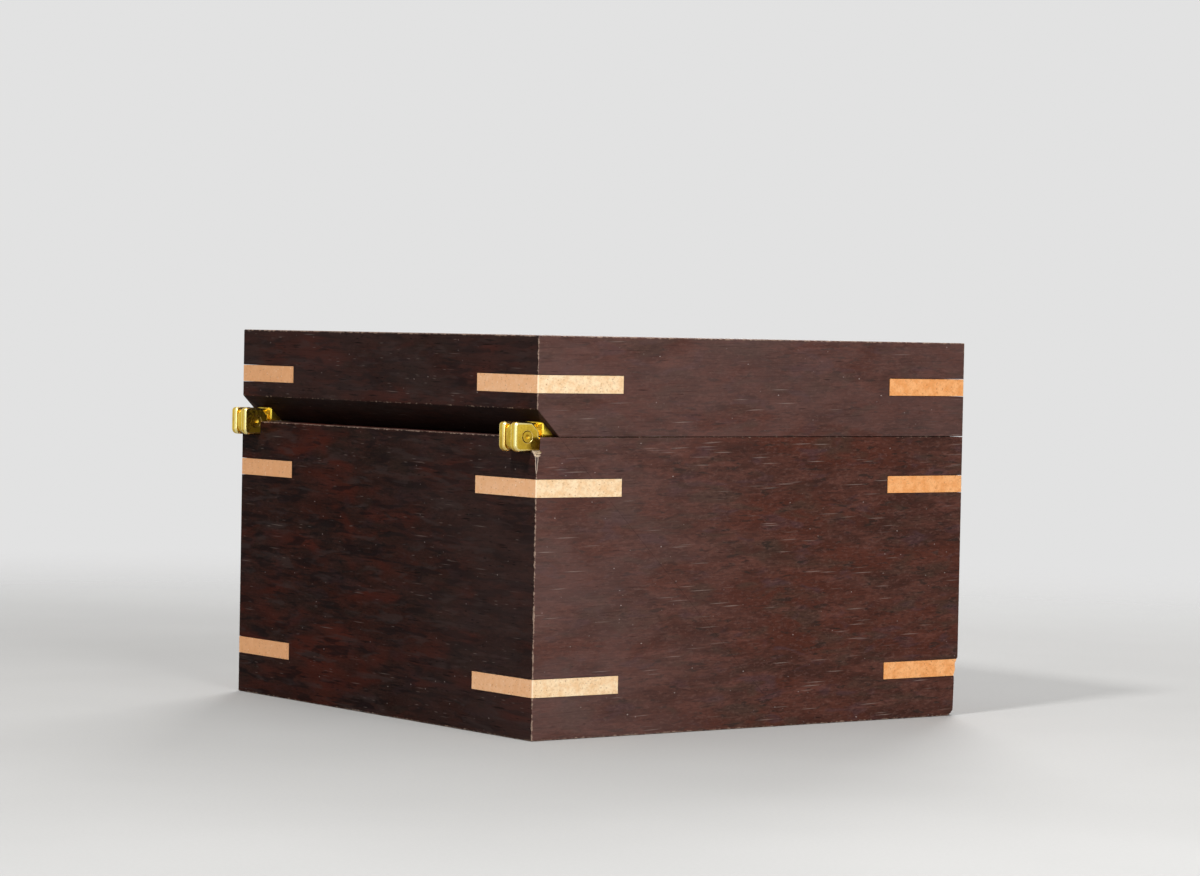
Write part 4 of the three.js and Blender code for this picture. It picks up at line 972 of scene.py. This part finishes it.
def make_movement():
    """Materials and eased arrises for the movement, the key, the glass and the wooden panels."""
    brass = metal("movement_brass", srgb(222, 188, 112), srgb(176, 134, 74), 0.24, scratch=0.006)
    key_brass = metal("key_brass", srgb(224, 190, 112), srgb(150, 106, 58), 0.20, scratch=0.006)
    clean, dull = srgb(190, 190, 192), srgb(120, 112, 104)
    screw_steel = metal("screw_steel", clean, dull, 0.22, scratch=0.006)
    comb_steel = metal("comb_steel", srgb(196, 198, 202), srgb(150, 150, 156), 0.22, "y", 0.006)
    arbor_steel = metal("arbor_steel", srgb(190, 192, 196), srgb(130, 128, 128), 0.20, "y", 0.004)
    blued = metal("blued_steel", srgb(98, 108, 128), srgb(70, 66, 76), 0.24, "z", 0.004)
    cast = metal("cast_metal", srgb(178, 172, 160), srgb(120, 112, 100), 0.42, tarnish=0.6)
    axis = (middle_of("cylinder_arbor", "y"), middle_of("cylinder_arbor", "z"))

    paint(["main_wheel", "cylinder_gear", "governor_wheel"], brass)
    paint(["winding_key"], key_brass)
    paint(["comb_screw_1", "comb_screw_2"], screw_steel)
    paint(["movement_screw_1", "movement_screw_2", "movement_screw_3"], screw_steel)
    paint(["comb"], comb_steel)
    paint(["cylinder_arbor", "winding_arbor", "fly", "stop_lever", "stop_plunger"], arbor_steel)
    paint(["mainspring"], blued)
    paint(["bedplate", "spring_housing", "governor_bracket"], cast)
    paint(["cylinder"], pinned_brass("pinned_brass", axis, BARREL_RADIUS))
    paint(["glass_cover"], clear_glass("clear_glass"))
    panels = ["lid_panel", "bottom_panel", "divider", "cover_ledge"]
    paint(panels, panel_wood("panel_wood"))

    soften("bedplate", 0.25)
    soften("governor_bracket", 0.15)
    soften("winding_key", 0.3, steps=3)
    soften("stop_lever", 0.1)
    soften("glass_cover", 0.25)
    for name in panels:
        soften(name, PANEL_EASE)


# The studio, its lengths in metres


CAMERA_PLACE = (-0.6849, 0.5033, 0.08605)
CAMERA_TURN = math.radians(-36.469)
CAMERA_PITCH = math.radians(-1.632)
CAMERA_ROLL = 0.0191  # in radians
PHOTO_WIDTH = 1200
FOCAL_PIXELS = 3655.7
SENSOR = 36.0  # in millimetres

BACKGROUND = (0.76, 0.76, 0.76, 1)
SOFT_LIGHT = 0.16

FLOOR_RADIUS = 5.0
FLOOR_BELOW = 0.05 * MM
FLOOR_FADES = (0.14, 0.60)

# Where the lamps look, and each one's place, width and height, and power in watts
LAMP_TARGET = Vector((0, 0, 0.045))
LAMPS = {
    "key": ((-0.60, 0.10, 0.33), (0.3, 0.3), 2.2),
    "front": ((-0.84, 0.62, 0.20), (0.35, 0.40), 1.0),
    "rear": ((-0.20, 0.50, 0.62), (0.1, 0.1), 3.6),
    "top": ((0.15, -0.1, 1.0), (0.8, 0.8), 1.8),
    "far": ((0.70, -0.75, 0.55), (0.5, 0.5), 7.0),
}


def look_matrix(place, ahead, roll=0.0):
    """A camera or lamp at place that looks along ahead, turned about that line."""
    ahead = Vector(ahead).normalized()
    right = ahead.cross(Vector((0, 0, 1))).normalized()
    up = right.cross(ahead)
    level_right = right * math.cos(roll) + up * math.sin(roll)
    level_up = up * math.cos(roll) - right * math.sin(roll)
    rotation = Matrix((level_right, level_up, -ahead)).transposed().to_4x4()
    return Matrix.Translation(place) @ rotation


def make_camera():
    """The photograph's viewpoint, fitted to the corners of the box."""
    data = bpy.data.cameras.new("camera")
    data.sensor_width = SENSOR
    data.lens = FOCAL_PIXELS / PHOTO_WIDTH * SENSOR
    data.clip_start = 0.01
    data.clip_end = 100.0
    camera = bpy.data.objects.new("camera", data)
    bpy.context.scene.collection.objects.link(camera)
    level = math.cos(CAMERA_PITCH)
    ahead = (math.cos(CAMERA_TURN) * level, math.sin(CAMERA_TURN) * level, math.sin(CAMERA_PITCH))
    camera.matrix_world = look_matrix(CAMERA_PLACE, ahead, CAMERA_ROLL)
    bpy.context.scene.camera = camera


def add_lamp(name, place, size, power):
    """A rectangular lamp that looks at the middle of the box."""
    data = bpy.data.lights.new(name, "AREA")
    data.shape = "RECTANGLE"
    data.size, data.size_y = size
    data.energy = power
    lamp = bpy.data.objects.new(name, data)
    bpy.context.scene.collection.objects.link(lamp)
    lamp.matrix_world = look_matrix(place, LAMP_TARGET - Vector(place))
    lamp.visible_camera = False


def make_world():
    """A pale background for the camera and for reflections, and a softer light for the rest."""
    world = bpy.data.worlds.new("world")
    bpy.context.scene.world = world
    world.use_nodes = True
    tree = world.node_tree
    tree.nodes.clear()
    rays = tree.nodes.new("ShaderNodeLightPath").outputs
    seen = tree.nodes.new("ShaderNodeBackground")
    seen.inputs["Color"].default_value = BACKGROUND
    soft = tree.nodes.new("ShaderNodeBackground")
    soft.inputs["Color"].default_value = (1, 1, 1, 1)
    soft.inputs["Strength"].default_value = SOFT_LIGHT
    kinds = rays["Is Camera Ray"]
    for other in ("Is Glossy Ray", "Is Transmission Ray"):
        either = tree.nodes.new("ShaderNodeMath")
        either.operation = "MAXIMUM"
        tree.links.new(kinds, either.inputs[0])
        tree.links.new(rays[other], either.inputs[1])
        kinds = either.outputs[0]
    choose = tree.nodes.new("ShaderNodeMixShader")
    tree.links.new(kinds, choose.inputs[0])
    tree.links.new(soft.outputs[0], choose.inputs[1])
    tree.links.new(seen.outputs[0], choose.inputs[2])
    out = tree.nodes.new("ShaderNodeOutputWorld")
    tree.links.new(choose.outputs[0], out.inputs["Surface"])


def make_floor():
    """A plain pale floor that fades into the background far from the box."""
    look = Look("floor")
    mottle = look.noise(look.place((90, 90, 90)), 3.0, 0.5)
    fine = look.noise(look.place((0.8, 0.8, 0.8)), 2.0, 0.5)
    colour = look.mix(look.rise(mottle, 0.3, 0.7), srgb(188, 187, 185), srgb(184, 183, 181))
    rough = look.rise(fine, 0.3, 0.7, 0.72, 0.85)
    look.finish(colour, rough, look.bump(fine, 0.02), Specular_IOR_Level=FLOOR_SPECULAR)
    here = look.add("TexCoord").outputs["Object"]
    away = look.add("VectorMath", {0: here}, operation="LENGTH").outputs["Value"]
    gone = look.rise(away, *FLOOR_FADES)
    clear = look.add("BsdfTransparent").outputs[0]
    fade = look.add("MixShader", {0: gone, 1: look.shader.outputs[0], 2: clear})
    surface = look.tree.nodes["Material Output"].inputs["Surface"]
    look.tree.links.new(fade.outputs[0], surface)
    form = bmesh.new()
    bmesh.ops.create_circle(form, cap_ends=True, radius=FLOOR_RADIUS, segments=96)
    floor = solid("floor", form)
    floor.location.z = -FLOOR_BELOW
    floor.data.materials.append(look.material)


def make_studio():
    """The camera, the background, the floor and the lamps."""
    make_camera()
    make_world()
    make_floor()
    for name, (place, size, power) in LAMPS.items():
        add_lamp(name, place, size, power)


scene = bpy.context.scene
scene.view_settings.view_transform = "Standard"
make_studio()
make_boards()
make_felt(wool_felt("wool_felt"))
make_hinges()
make_movement()
